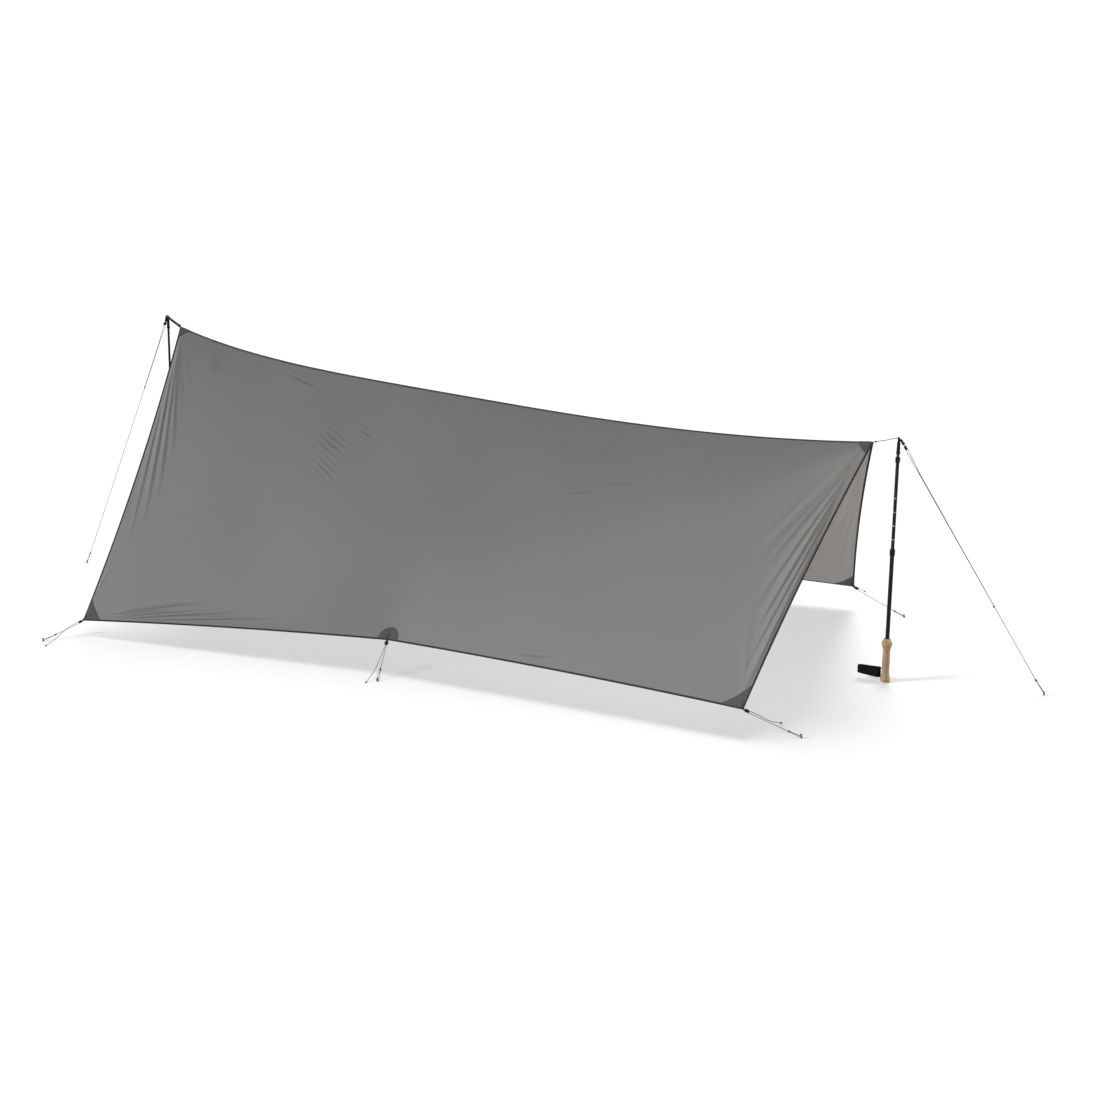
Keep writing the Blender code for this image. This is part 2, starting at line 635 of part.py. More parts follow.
cloth = material("tarp_cloth", (0.24, 0.235, 0.23), 0.6)
patch_cloth = material("patch_cloth", (0.09, 0.085, 0.09), 0.7)
trim = material("hem_tape", (0.035, 0.033, 0.033), 0.7)
line_cord = material("line_cord", (0.45, 0.52, 0.48), 0.8)
peak_cord = material("peak_cord", (0.01, 0.16, 0.09), 0.8)
black_plastic = material("black_plastic", (0.02, 0.02, 0.02), 0.4)
red_plastic = material("red_plastic", (0.45, 0.04, 0.03), 0.4)
peg_metal = material("peg_metal", (0.4, 0.4, 0.4), 0.35, 1.0)
pole_carbon = material("pole_carbon", (0.03, 0.028, 0.035), 0.35)
cork = material("cork_grip", (0.36, 0.25, 0.15), 0.8)
webbing = material("strap_webbing", (0.012, 0.012, 0.012), 0.85)

make_canopy()
adjuster_shape = make_adjuster_shape()
make_hem_lines()
make_ridge_line("tall", TALL_PEAK, TALL_FOOT, TALL_TIP, TALL_RIDGE_PEG, TALL_PEAK_CORD_RADIUS,
                TALL_RIDGE_TAIL)
make_ridge_line("low", LOW_PEAK, LOW_FOOT, LOW_TIP, LOW_RIDGE_PEG, LOW_PEAK_CORD_RADIUS, LOW_RIDGE_TAIL)
make_pole("tall", TALL_FOOT, TALL_TIP, TALL_SHAFT_SHOWN, 1)
make_pole("low", LOW_FOOT, LOW_TIP, LOW_SHAFT_SHOWN, -1)
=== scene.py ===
import json
import math

import bmesh
import bpy
import numpy as np
from mathutils import Matrix, Vector

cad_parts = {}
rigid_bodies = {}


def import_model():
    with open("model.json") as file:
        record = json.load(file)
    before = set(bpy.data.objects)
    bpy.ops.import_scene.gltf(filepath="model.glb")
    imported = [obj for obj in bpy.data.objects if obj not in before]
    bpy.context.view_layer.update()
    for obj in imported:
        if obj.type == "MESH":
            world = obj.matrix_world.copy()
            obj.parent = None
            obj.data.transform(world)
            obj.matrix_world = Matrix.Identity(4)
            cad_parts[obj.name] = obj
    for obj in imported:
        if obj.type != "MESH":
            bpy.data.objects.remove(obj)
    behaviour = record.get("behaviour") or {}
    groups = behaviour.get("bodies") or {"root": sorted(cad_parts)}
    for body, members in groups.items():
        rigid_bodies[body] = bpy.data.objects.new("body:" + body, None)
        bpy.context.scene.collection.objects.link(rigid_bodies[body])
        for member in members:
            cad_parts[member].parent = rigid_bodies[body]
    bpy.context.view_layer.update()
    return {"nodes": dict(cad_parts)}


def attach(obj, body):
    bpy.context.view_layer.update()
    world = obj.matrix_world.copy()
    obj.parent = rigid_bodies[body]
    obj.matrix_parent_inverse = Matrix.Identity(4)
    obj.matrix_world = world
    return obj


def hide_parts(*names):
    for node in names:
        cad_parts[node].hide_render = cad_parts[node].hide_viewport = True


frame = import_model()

scene = bpy.context.scene
upZ = Vector((0, 0, 1))
fullTurn = 2 * math.pi


# Camera, standing where the photograph was taken from
camera = {
    "place": (2.7769, -4.5222, 1.8857),
    "heading": 118.469,  # degrees from +X
    "down": 16.762,
    "roll": -2.339,
    "lens": 42.22,
    "sensor": 36,
}


def makeCamera():
    heading, down, roll = (math.radians(camera[key]) for key in ("heading", "down", "roll"))
    level = math.cos(down)
    ahead = Vector((math.cos(heading) * level, math.sin(heading) * level, -math.sin(down)))
    right = Vector((math.sin(heading), -math.cos(heading), 0))
    above = right.cross(ahead)
    side = right * math.cos(roll) + above * math.sin(roll)
    top = above * math.cos(roll) - right * math.sin(roll)
    data = bpy.data.cameras.new("studioCamera")
    data.lens = camera["lens"]
    data.sensor_width = camera["sensor"]
    data.clip_end = 200
    obj = bpy.data.objects.new("studioCamera", data)
    turned = Matrix((side, top, -ahead)).transposed().to_4x4()
    obj.matrix_world = Matrix.Translation(camera["place"]) @ turned
    scene.collection.objects.link(obj)
    scene.camera = obj


makeCamera()
print("camera done")


# Mesh helpers
def useMode(mode):
    bpy.ops.object.mode_set(mode=mode)


def deselect():
    if bpy.context.object and bpy.context.object.mode != "OBJECT":
        useMode("OBJECT")
    bpy.ops.object.select_all(action="DESELECT")


def useOnly(obj):
    deselect()
    obj.select_set(True)
    bpy.context.view_layer.objects.active = obj


def applyModifiers(obj):
    useOnly(obj)
    for modifier in list(obj.modifiers):
        bpy.ops.object.modifier_apply(modifier=modifier.name)


def thicken(obj, thickness):
    solid = obj.modifiers.new("thickness", "SOLIDIFY")
    solid.thickness = thickness
    solid.offset = 0


def bevelled(obj, width, segments=3, angle=35):
    bevel = obj.modifiers.new("softEdges", "BEVEL")
    bevel.width = width
    bevel.segments = segments
    bevel.limit_method = "ANGLE"
    bevel.angle_limit = math.radians(angle)
    applyModifiers(obj)
    return obj


def smoothed(obj, angle=35):
    useOnly(obj)
    bpy.ops.object.shade_smooth_by_angle(angle=math.radians(angle))
    return obj


def smoothAll(obj):
    obj.data.polygons.foreach_set("use_smooth", [True] * len(obj.data.polygons))
    return obj


def fixNormals(obj, weld=0.0):
    shape = bmesh.new()
    shape.from_mesh(obj.data)
    if weld:
        bmesh.ops.remove_doubles(shape, verts=shape.verts, dist=weld)
    bmesh.ops.recalc_face_normals(shape, faces=shape.faces)
    shape.to_mesh(obj.data)
    shape.free()
    return obj


def newObject(name, data):
    obj = bpy.data.objects.new(name, data)
    scene.collection.objects.link(obj)
    return obj


def meshOf(name, verts, faces):
    mesh = bpy.data.meshes.new(name)
    mesh.from_pydata([tuple(vert) for vert in verts], [], faces)
    return newObject(name, mesh)


def copyOf(obj, name, place):
    mesh = obj.data.copy()
    mesh.name = name
    mesh.transform(place)
    return newObject(name, mesh)


def dropPatterns(made):
    for pattern in made.values():
        bpy.data.objects.remove(pattern, do_unlink=True)


def camel(name):
    first, *rest = name.split("_")
    return first + "".join(word.title() for word in rest)


# A piece stands for the nodes given, or else for the CAD node of its own name, where there is one
def dress(obj, finish, body="shelter", nodes=()):
    obj.data.materials.clear()
    obj.data.materials.append(finish)
    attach(obj, body)
    nodes = nodes or [node for node in frame["nodes"] if camel(node) == obj.name]
    if nodes:
        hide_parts(*nodes)
    return obj


def cornersOf(obj):
    corners = np.empty(len(obj.data.loops), int)
    obj.data.loops.foreach_get("vertex_index", corners)
    return corners


def setMap(obj, uv):
    obj.data.uv_layers.new(name="along").data.foreach_set("uv", uv.ravel())
    return obj


def gridFaces(count, wide, spans):
    return [(i * wide + j, i * wide + (j + 1) % wide, (i + 1) * wide + (j + 1) % wide, (i + 1) * wide + j)
            for i in range(count - 1) for j in range(spans)]


# An open sheet through rows of points, its upper face to the left of the rows
def gridSheet(name, rows, uvRows):
    count, wide = rows.shape[:2]
    obj = meshOf(name, rows.reshape(-1, 3), gridFaces(count, wide, wide - 1))
    return setMap(obj, uvRows.reshape(-1, 2)[cornersOf(obj)])


# A shape through rings of points, with its UV map in metres: along the rings and round them
def loft(name, sections, lengths, girth, caps=True):
    sections = np.asarray(sections, float)
    count, around = sections.shape[:2]
    faces = gridFaces(count, around, around)
    if caps:
        faces.append(tuple(range(around))[::-1])
        faces.append(tuple((count - 1) * around + j for j in range(around)))
    obj = fixNormals(meshOf(name, sections.reshape(-1, 3), faces))
    totals = np.empty(len(obj.data.polygons), int)
    obj.data.polygons.foreach_get("loop_total", totals)
    owner = np.repeat(np.arange(len(totals)), totals)
    ring, step = np.divmod(cornersOf(obj), around)
    step = np.where((owner % around == around - 1) & (step == 0), around, step)
    return setMap(obj, np.stack([np.asarray(lengths, float)[ring], step * girth / around], axis=1))


def routeLengths(points):
    steps = np.linalg.norm(np.diff(np.asarray(points, float), axis=0), axis=1)
    return np.concatenate([[0], np.cumsum(steps)])


# Two directions square to a route at each of its points, turning as little as they can
def routeFrames(points):
    points = [Vector(point) for point in points]
    ways = []
    for i in range(len(points)):
        ways.append((points[min(i + 1, len(points) - 1)] - points[max(i - 1, 0)]).normalized())
    steep = abs(ways[0].z) >= 0.95
    first = ways[0].cross(Vector((1, 0, 0)) if steep else upZ)
    first.normalize()
    sides = [first]
    for way in ways[1:]:
        side = sides[-1] - way * sides[-1].dot(way)
        sides.append(side.normalized())
    return [(side, way.cross(side), way) for side, way in zip(sides, ways)]


def aroundPoint(centre, side, other, reach, angle):
    return centre + side * (reach * math.cos(angle)) + other * (reach * math.sin(angle))


strandShape = (0.90, 0.12)  # share of the radius between two strands, and how far they stand out from there


def sweepTube(name, points, radius, sides=10, strands=0, lay=0.02):
    rings = []
    lengths = routeLengths(points)
    for point, (side, other, _), length in zip(points, routeFrames(points), lengths):
        ring = []
        for k in range(sides):
            angle = fullTurn * k / sides
            reach = radius
            if strands:
                wave = abs(math.cos(strands / 2 * (angle - fullTurn * length / lay)))
                reach *= strandShape[0] + strandShape[1] * wave
            ring.append(aroundPoint(Vector(point), side, other, reach, angle))
        rings.append(ring)
    return smoothAll(loft(name, rings, lengths, fullTurn * radius))


# Cloth: the outlines of the far slope. along and down run from 0 to 1, and side is -1 for the near slope
pitch = {
    "tallPeak": (-1.575, 0.0, 1.218),
    "lowPeak": (1.655, 0.0, 0.881),
    "tallCorner": (-1.540, 0.834, 0.058),
    "lowCorner": (1.419, 0.698, 0.090),
    "sideTie": (-0.060, 0.658, 0.116),
    "ridgeSag": 0.093,
    "ridgePower": (4.0, 2.7),
    "tallBow": 0.028,
    "lowBow": 0.012,
    "longBow": 0.008,
    "hemSoft": 0.10,
}
tallPeak, lowPeak, tallCorner, lowCorner, sideTie = (
    np.array(pitch[key]) for key in ("tallPeak", "lowPeak", "tallCorner", "lowCorner", "sideTie"))
ridgeLength = float(np.linalg.norm(lowPeak - tallPeak))


def unit(vectors):
    return vectors / np.linalg.norm(vectors, axis=-1, keepdims=True)


def sideFlip(side):
    return np.array((1, side, 1))


def between(start, end, share):
    return start + (end - start) * np.asarray(share, float)[..., None]


def ridgeLine(along):
    along = np.asarray(along, float)
    power = np.where(along < 0.5, *pitch["ridgePower"])
    point = between(tallPeak, lowPeak, along)
    point[..., 2] -= pitch["ridgeSag"] * (1 - np.abs(2 * along - 1) ** power)
    return point


def bowedEdge(start, end, inside, bow, share):
    share = np.asarray(share, float)
    chord = end - start
    inward = inside - start
    inward = unit(inward - chord * (inward @ chord / (chord @ chord)))
    return between(start, end, share) + inward * (bow * 4 * share * (1 - share))[..., None]


def tallEdge(down):
    return bowedEdge(tallPeak, tallCorner, lowPeak, pitch["tallBow"], down)


def lowEdge(down):
    return bowedEdge(lowPeak, lowCorner, tallPeak, pitch["lowBow"], down)


def longEdge(along):
    along = np.asarray(along, float)
    first = bowedEdge(tallCorner, sideTie, tallPeak, pitch["longBow"], along * 2)
    second = bowedEdge(sideTie, lowCorner, lowPeak, pitch["longBow"], along * 2 - 1)
    return np.where((along < 0.5)[..., None], first, second)


def slopeDepth(along):
    return np.linalg.norm(longEdge(along) - ridgeLine(along), axis=-1)


def slopeAt(along, down):
    along, down = np.asarray(along, float), np.asarray(down, float)
    ridge = ridgeLine(along)
    soft = pitch["hemSoft"] * (1 - down) * np.sin(math.pi * np.clip(along, 0, 1))
    shifts = np.linspace(-1, 1, 9)
    hem = sum(longEdge(along + soft * shift) for shift in shifts) / len(shifts)
    ridgeToHem = ridge + (hem - ridge) * down[..., None]
    endToEnd = tallEdge(down) + (lowEdge(down) - tallEdge(down)) * along[..., None]
    top = between(tallPeak, lowPeak, along)
    flat = top + (between(tallCorner, lowCorner, along) - top) * down[..., None]
    return ridgeToHem + endToEnd - flat


def slopeNormal(along, down):
    step = 0.002
    here = np.clip(along, step, 1 - step)
    there = np.clip(down, step, 1 - step)
    lengthwise = slopeAt(here + step, there) - slopeAt(here - step, there)
    downward = slopeAt(here, there + step) - slopeAt(here, there - step)
    return unit(np.cross(lengthwise, downward))


# Tension folds: each runs from an angle off the hem at its start to another at its end, in degrees and metres
foldFans = [
    {"fan": (tallPeak, tallCorner, lowPeak), "height": 0.0052, "width": (0.0040, 0.010, 0.0095), "steep": 1,
     "flat": 2.2, "folds": [
        (8.6, 8.8, 0.10, 0.98, 1.1), (12.6, 12.1, 0.07, 0.86, 1.0), (14.9, 16.0, 0.06, 0.68, 0.9),
        (18.0, 20.5, 0.07, 0.50, 0.6), (5.2, 5.6, 0.12, 1.05, 0.7), (2.9, 3.2, 0.20, 0.80, 0.5),
        (25.0, 28.0, 0.08, 0.42, 0.35), (36.0, 40.0, 0.08, 0.34, 0.3)]},
    {"fan": (tallCorner, sideTie, tallPeak), "height": 0.0060, "width": (0.0034, 0.009, 0.0086), "steep": -1,
     "flat": 1.5, "folds": [
        (13.2, 10.8, 0.15, 0.62, 0.9), (10.6, 9.4, 0.17, 0.55, 0.7), (8.0, 7.6, 0.16, 0.66, 0.9),
        (5.4, 5.8, 0.17, 0.80, 0.9), (3.4, 3.6, 0.20, 1.00, 0.9), (2.0, 1.9, 0.35, 1.12, 0.6),
        (76.0, 74.0, 0.10, 0.26, 0.4)]},
    {"fan": (lowPeak, lowCorner, tallPeak), "height": 0.0044, "width": (0.0034, 0.009, 0.0084), "steep": -1,
     "flat": 2.4, "folds": [
        (33.0, 31.0, 0.05, 0.27, 0.6), (25.5, 20.2, 0.07, 0.58, 0.9), (19.6, 19.1, 0.10, 0.60, 1.0),
        (16.8, 15.2, 0.12, 0.60, 0.9), (27.8, 24.5, 0.30, 0.58, 0.4), (11.2, 9.9, 0.16, 0.74, 1.1),
        (8.4, 5.9, 0.20, 0.80, 1.0), (6.2, 6.2, 0.26, 0.82, 0.7), (5.0, 3.6, 0.30, 0.97, 1.0),
        (2.6, 1.5, 0.40, 1.04, 0.9), (1.0, 1.3, 0.70, 1.06, 0.7)]},
    {"fan": (lowCorner, sideTie, lowPeak), "height": 0.0040, "width": (0.0050, 0.012, 0.012), "steep": 1,
     "flat": 1.9, "folds": [
        (5.0, 4.4, 0.11, 0.50, 0.5), (12.0, 10.0, 0.11, 0.40, 0.35), (78.0, 79.0, 0.10, 0.34, 0.5)]},
]
foldShape = {
    "steepSide": 0.42,  # width of a fold's steep side, against its flat side's own value
    "atCorner": 0.30,  # share of a fold's height at its corner, and the gain per metre from there
    "gain": 1.7,
    "farTurn": 1.16,
    "farLow": 0.35,  # share of the near slope's fold height on the far slope at the low end
}
# Slow waves in the cloth: waves along, waves down, phase, height
billows = [(2.6, 0.35, 0.4, 0.0028), (-1.4, 1.1, 2.0, 0.0030), (5.3, -0.8, 1.1, 0.0008)]
# Metres from each edge where folds begin, and where they have their full height
edgeHold = {"ridge": (0.004, 0.04), "hem": (0.006, 0.05), "tall": (0.005, 0.026), "low": (0.004, 0.018)}


def foldHeight(point, turn):
    height = np.zeros(point.shape[:-1])
    for fan in foldFans:
        corner, hemEnd, inside = fan["fan"]
        narrow, spread, widest = fan["width"]
        hemWay = unit(hemEnd - corner)
        inWay = inside - corner
        inWay = unit(inWay - hemWay * (inWay @ hemWay))
        apart = point - corner
        reach = np.linalg.norm(apart, axis=-1)
        angle = np.degrees(np.arctan2(apart @ inWay, apart @ hemWay))
        width = np.minimum(narrow + spread * reach, widest)
        rising = np.minimum(1, foldShape["atCorner"] + reach * foldShape["gain"])
        for first, last, start, end, strength in fan["folds"]:
            share = np.clip((reach - start) / (end - start), 0, 1)
            turned = np.log(np.clip(reach, start, end) / start) / math.log(end / start)
            offset = np.radians(angle - (first + (last - first) * turned) * turn) * reach
            sides = np.where(offset * fan["steep"] > 0, foldShape["steepSide"], fan["flat"])
            fade = np.sin(math.pi * share ** 0.6) ** 0.9 * rising
            height += fan["height"] * strength * fade * np.exp(-(offset / (width * sides)) ** 2)
    return height


def stepUp(value, low, high):
    share = np.clip((value - low) / (high - low), 0, 1)
    return share * share * (3 - 2 * share)


# The cloth as it hangs, folds and all, with its normals
def clothAt(along, down, side):
    point = slopeAt(along, down)
    normal = slopeNormal(along, down)
    height = foldHeight(point, 1.0 if side < 0 else foldShape["farTurn"])
    if side > 0:
        height *= 1 - (1 - foldShape["farLow"]) * stepUp(along, 0.5, 0.75)
    room = np.sqrt(np.sin(math.pi * np.clip(along, 0, 1)) * np.sin(math.pi * np.clip(down, 0, 1)))
    for alongWaves, downWaves, phase, rise in billows:
        height += rise * room * np.sin(fullTurn * (alongWaves * along + downWaves * down) + phase + side)
    depth = slopeDepth(along)
    fromEdges = {"ridge": down * depth, "hem": (1 - down) * depth, "tall": along * ridgeLength,
                 "low": (1 - along) * ridgeLength}
    for edge, away in fromEdges.items():
        height = height * stepUp(away, *edgeHold[edge])
    return (point + normal * height[..., None]) * sideFlip(side), normal * sideFlip(side)


# Shares from 0 to 1 that stand closer together near both ends
def closerAtEnds(count, startBoost=1, endBoost=1, width=0.1, base=1.0):
    share = np.linspace(0, 1, 4001)
    atStart, atEnd = np.exp(-(share / width) ** 2), np.exp(-((1 - share) / width) ** 2)
    density = base + startBoost * atStart + endBoost * atEnd
    total = np.concatenate([[0], np.cumsum((density[1:] + density[:-1]) / 2)])
    return np.interp(np.linspace(0, total[-1], count + 1), total, share)


canopy = {
    "thickness": 0.0005,
    # steps, how much closer they stand at the start and at the end, over what share, and their base
    "along": (320, 3.0, 4.5, 0.085, 0.35),
    "nearDown": (104, 0.6, 8.0, 0.09, 0.7),
    "farDown": (46, 0.8, 3.2, 0.14, 1.0),
}


def makeCanopy():
    alongs, nearDowns, farDowns = (closerAtEnds(*canopy[key]) for key in ("along", "nearDown", "farDown"))
    depth = slopeDepth(alongs)
    rows, uvRows = [], []
    for side, down in [(-1, down) for down in nearDowns[:0:-1]] + [(1, down) for down in farDowns]:
        rows.append(clothAt(alongs, np.full_like(alongs, down), side)[0])
        uvRows.append(np.stack([alongs * ridgeLength, side * down * depth], axis=1))
    obj = gridSheet("canopyCloth", np.array(rows), np.array(uvRows))
    thicken(obj, canopy["thickness"])
    applyModifiers(obj)
    return smoothAll(obj)


# Bound edges: a tape folded over the cloth's edge
binding = {"reach": 0.0052, "fold": 0.0022, "thickness": 0.0026, "stations": 90}


def bindEdge(name, edge, inner, normal):
    way = unit(np.gradient(edge, axis=0))
    inward = inner - edge
    inward = unit(inward - way * np.sum(inward * way, axis=-1, keepdims=True))
    square = np.cross(way, inward)
    normal = unit(square) * np.sign(np.sum(square * normal, axis=-1, keepdims=True))
    half = binding["thickness"] / 2
    reach, fold = binding["reach"], binding["fold"]
    outline = [(-fold, 0), (-fold * 0.75, half * 0.7), (0, half), (reach * 0.9, half * 0.85),
               (reach, half * 0.5)]
    outline += [(across, -rise) for across, rise in outline[:0:-1]]
    sections = np.stack([edge + inward * across + normal * rise for across, rise in outline], axis=1)
    made = smoothAll(loft(name, sections, routeLengths(edge), 2 * (reach + fold)))
    return dress(made, hemTape)


def makeEndHem(end):
    edge, along = (tallEdge, 0.0) if end == "tall" else (lowEdge, 1.0)
    downs = closerAtEnds(binding["stations"])
    inside = abs(along - 0.02)
    points, inners, normals = [], [], []
    for side, shares in ((-1, downs[::-1][:-1]), (1, downs)):
        flip = sideFlip(side)
        points.append(edge(shares) * flip)
        inners.append(slopeAt(np.full_like(shares, inside), shares) * flip)
        normals.append(slopeNormal(np.full_like(shares, along), shares) * flip)
    points, inners, normals = (np.concatenate(part) for part in (points, inners, normals))
    middle = len(downs) - 1
    normals[middle] = unit(normals[middle] * (1, 0, 1))
    inners[middle][1] = 0
    return bindEdge(f"{end}EndHem", points, inners, normals)


def makeLongHem(place, side):
    alongs = closerAtEnds(2 * binding["stations"])
    flip = sideFlip(side)
    inners = slopeAt(alongs, np.full_like(alongs, 0.97)) * flip
    normals = slopeNormal(alongs, np.ones_like(alongs)) * flip
    return bindEdge(f"{place}Hem", longEdge(alongs) * flip, inners, normals)


# Ridge seam: both slopes' edges felled together, a low strip astride the ridge
seam = {"half": 0.0045, "rise": 0.0012, "foot": 0.0009, "under": 0.0005, "stations": 160, "stop": 0.006}


def makeRidgeSeam():
    alongs = closerAtEnds(seam["stations"])
    alongs = np.clip(alongs, seam["stop"] / ridgeLength, 1 - seam["stop"] / ridgeLength)
    ridge = ridgeLine(alongs)
    down = seam["half"] / slopeDepth(alongs)
    lower, normal = slopeAt(alongs, down), slopeNormal(alongs, down)
    upper = between(lower, ridge, np.full_like(alongs, 0.3))
    top, rise = np.array((0, 0, 1)), seam["rise"]
    outline = [lower - normal * seam["under"], lower + normal * seam["foot"], upper + normal * rise * 0.8]
    near = [points * sideFlip(-1) for points in outline]
    sections = np.stack([*near, ridge + top * rise * 1.2, *outline[::-1], ridge - top * rise], axis=1)
    made = smoothAll(loft("ridgeFell", sections, routeLengths(ridge), 4 * seam["half"]))
    return dress(made, seamTape, nodes=["ridge_seam"])


# Reinforcement patches, sewn through the cloth so that they show on both faces
patches = {
    "thickness": 0.0030,
    "bead": 0.0028,  # half of a bound edge, where a patch starts
    "start": 0.010,
    "cornerLeg": 0.095,
    "cornerPower": {"tall": 0.95, "low": 0.8},
    "peakLeg": {"tall": 0.046, "low": 0.045},
    "peakHollow": {"tall": 0.20, "low": 0.12},
    "peakLift": 0.0012,
    "sideRadius": 0.050,
    "rings": 12,
    "steps": 24,
}


def sewnPatch(name, points, share, turn):
    uv = np.stack(np.broadcast_arrays(share, turn), axis=-1)
    obj = gridSheet(name, points, uv)
    thicken(obj, patches["thickness"])
    made = smoothed(fixNormals(bevelled(obj, 0.0007, 2, 40)), 50)
    return dress(made, patchCloth)


def makePatch(name, side, corner, legs, power, turn):
    first = patches["start"] / patches["cornerLeg"]
    share = first + (1 - first) * np.linspace(0, 1, patches["rings"] + 1)[:, None]
    angle = math.radians(turn) * np.linspace(0, 1, patches["steps"] + 1)[None, :]
    across, below = np.cos(angle), np.sin(angle)
    reach = (np.abs(across) ** power + np.abs(below) ** power) ** (-1 / power)
    along = corner[0] + legs[0] * share * reach * across
    down = corner[1] + legs[1] * share * reach * below
    return sewnPatch(name, clothAt(along, down, side)[0], share, angle)


def makePeakPatch(end, peakAlong):
    steps, start = patches["steps"], patches["start"]
    toward = 1 if peakAlong < 0.5 else -1
    share = np.linspace(0, 1, patches["rings"] + 1)[:, None]
    turn = np.linspace(-1, 1, 2 * steps + 1)[None, :]
    angle = math.radians(90) * np.abs(turn)
    reach = start + (patches["peakLeg"][end] - start) * share
    reach = reach * (1 - patches["peakHollow"][end] * np.sin(2 * angle) ** 2)
    along = peakAlong + toward * (patches["bead"] + reach * np.cos(angle)) / ridgeLength
    down = reach * np.sin(angle) / float(slopeDepth(peakAlong))
    near, nearNormal = clothAt(along, down, -1)
    far, farNormal = clothAt(along, down, 1)
    onNear = (turn < 0)[..., None]
    normals = np.where(onNear, nearNormal, farNormal)
    normals[:, steps] = unit(normals[:, steps] * (1, 0, 1))
    points = np.where(onNear, near, far) + normals * patches["peakLift"]
    return sewnPatch(f"{end}PeakPatch", points, share, turn * math.radians(90))


def makePatches():
    ways = {"tall": tallCorner - tallPeak, "low": lowCorner - lowPeak, "side": sideTie - ridgeLine(0.5)}
    slopes = {end: float(np.linalg.norm(way)) for end, way in ways.items()}
    bead, leg, radius = patches["bead"], patches["cornerLeg"], patches["sideRadius"]
    made = []
    for place, side in (("Near", -1), ("Far", 1)):
        for end, along, toward in (("tall", bead / ridgeLength, 1), ("low", 1 - bead / ridgeLength, -1)):
            legs = (toward * leg / ridgeLength, -leg / slopes[end])
            made.append(makePatch(f"{end}{place}Patch", side, (along, 1 - bead / slopes[end]), legs,
                                  patches["cornerPower"][end], 90))
        made.append(makePatch(f"side{place}Patch", side, (0.5, 1 - bead / slopes["side"]),
                              (radius / ridgeLength, -radius / slopes["side"]), 2.0, 180))
    return [*made, makePeakPatch("tall", 0.0), makePeakPatch("low", 1.0)]


# Node helpers
def newFinish(name):
    finish = bpy.data.materials.new(name)
    finish.use_nodes = True
    return finish, finish.node_tree, finish.node_tree.nodes["Principled BSDF"]


# A number in a node tree: each sign between two of them, or one and a plain number, adds a math node
class NodeValue:
    def __init__(self, tree, socket):
        self.tree, self.socket = tree, socket

    def by(self, operation, *others):
        node = addNode(self.tree, "ShaderNodeMath", {"operation": operation})
        for place, value in zip(node.inputs, (self, *others)):
            feed(self.tree, place, value)
        return NodeValue(self.tree, node.outputs[0])

    def __add__(self, other):
        return self.by("ADD", other)

    def __sub__(self, other):
        return self.by("SUBTRACT", other)

    def __mul__(self, other):
        return self.by("MULTIPLY", other)

    def __truediv__(self, other):
        return self.by("DIVIDE", other)


def feed(tree, socket, value):
    value = value.socket if isinstance(value, NodeValue) else value
    if isinstance(value, bpy.types.NodeSocket):
        tree.links.new(value, socket)
    else:
        socket.default_value = value


def addNode(tree, kind, settings=None, **inputs):
    node = tree.nodes.new(kind)
    for key, value in (settings or {}).items():
        setattr(node, key, value)
    for key, value in inputs.items():
        feed(tree, node.inputs[int(key[1:])] if key[1:].isdigit() else node.inputs[key], value)
    return node


def newValue(tree, kind, settings=None, **inputs):
    return NodeValue(tree, addNode(tree, kind, settings, **inputs).outputs[0])


def partsOf(tree, vector):
    outputs = addNode(tree, "ShaderNodeSeparateXYZ", i0=vector).outputs
    return [NodeValue(tree, output) for output in outputs]


def noise(tree, vector, scale, detail, **more):
    return newValue(tree, "ShaderNodeTexNoise", None, Vector=vector, Scale=scale, Detail=detail, **more)


def makeGroup(name, build, vectors, numbers):
    tree = bpy.data.node_groups.new(name, "ShaderNodeTree")
    for labels, kind in ((vectors, "NodeSocketVector"), (numbers, "NodeSocketFloat")):
        for label in labels:
            tree.interface.new_socket(label, in_out="INPUT", socket_type=kind)
    given = tree.nodes.new("NodeGroupInput").outputs
    results = build(tree, *(NodeValue(tree, given[label]) for label in vectors + numbers))
    for label in results:
        tree.interface.new_socket(label, in_out="OUTPUT", socket_type="NodeSocketFloat")
    out = tree.nodes.new("NodeGroupOutput").inputs
    for label, value in results.items():
        feed(tree, out[label], value)
    return tree


def useGroup(tree, group, **inputs):
    node = addNode(tree, "ShaderNodeGroup", {"node_tree": group}, **inputs)
    return {output.name: NodeValue(tree, output) for output in node.outputs}


patternShares = {"gridLine": 0.12, "stitch": 0.72, "fleck": 0.34}  # how much of each step is marked


# Plain weave with a faint heavier grid, on a UV map in metres
def weave(tree, vector, threads, grid):
    waves, gridLines = [], []
    for part in partsOf(tree, vector)[:2]:
        waves.append((part * threads * fullTurn).by("SINE"))
        gridLines.append((part * grid).by("FRACT").by("LESS_THAN", patternShares["gridLine"]))
    line = gridLines[0].by("MAXIMUM", gridLines[1])
    return {"Height": waves[0] * waves[1] * 0.5 + line, "Grid Line": line}


# Slow changes of colour and a fine grain, as a factor near 1
def mottle(tree, vector, scale, amount, grain):
    slow = noise(tree, vector, scale, 3.0)
    fine = noise(tree, vector, scale * 60.0, 2.0)
    return {"Factor": (slow - 0.5) * amount + (fine - 0.5) * grain + 1.0, "Noise": slow}


# A row of stitches beside a line of the UV map
def stitchRow(tree, vector, place, width, length):
    along, across = partsOf(tree, vector)[:2]
    onRow = (across - place).by("ABSOLUTE").by("LESS_THAN", width)
    return {"Mask": (along / length).by("FRACT").by("LESS_THAN", patternShares["stitch"]) * onRow}


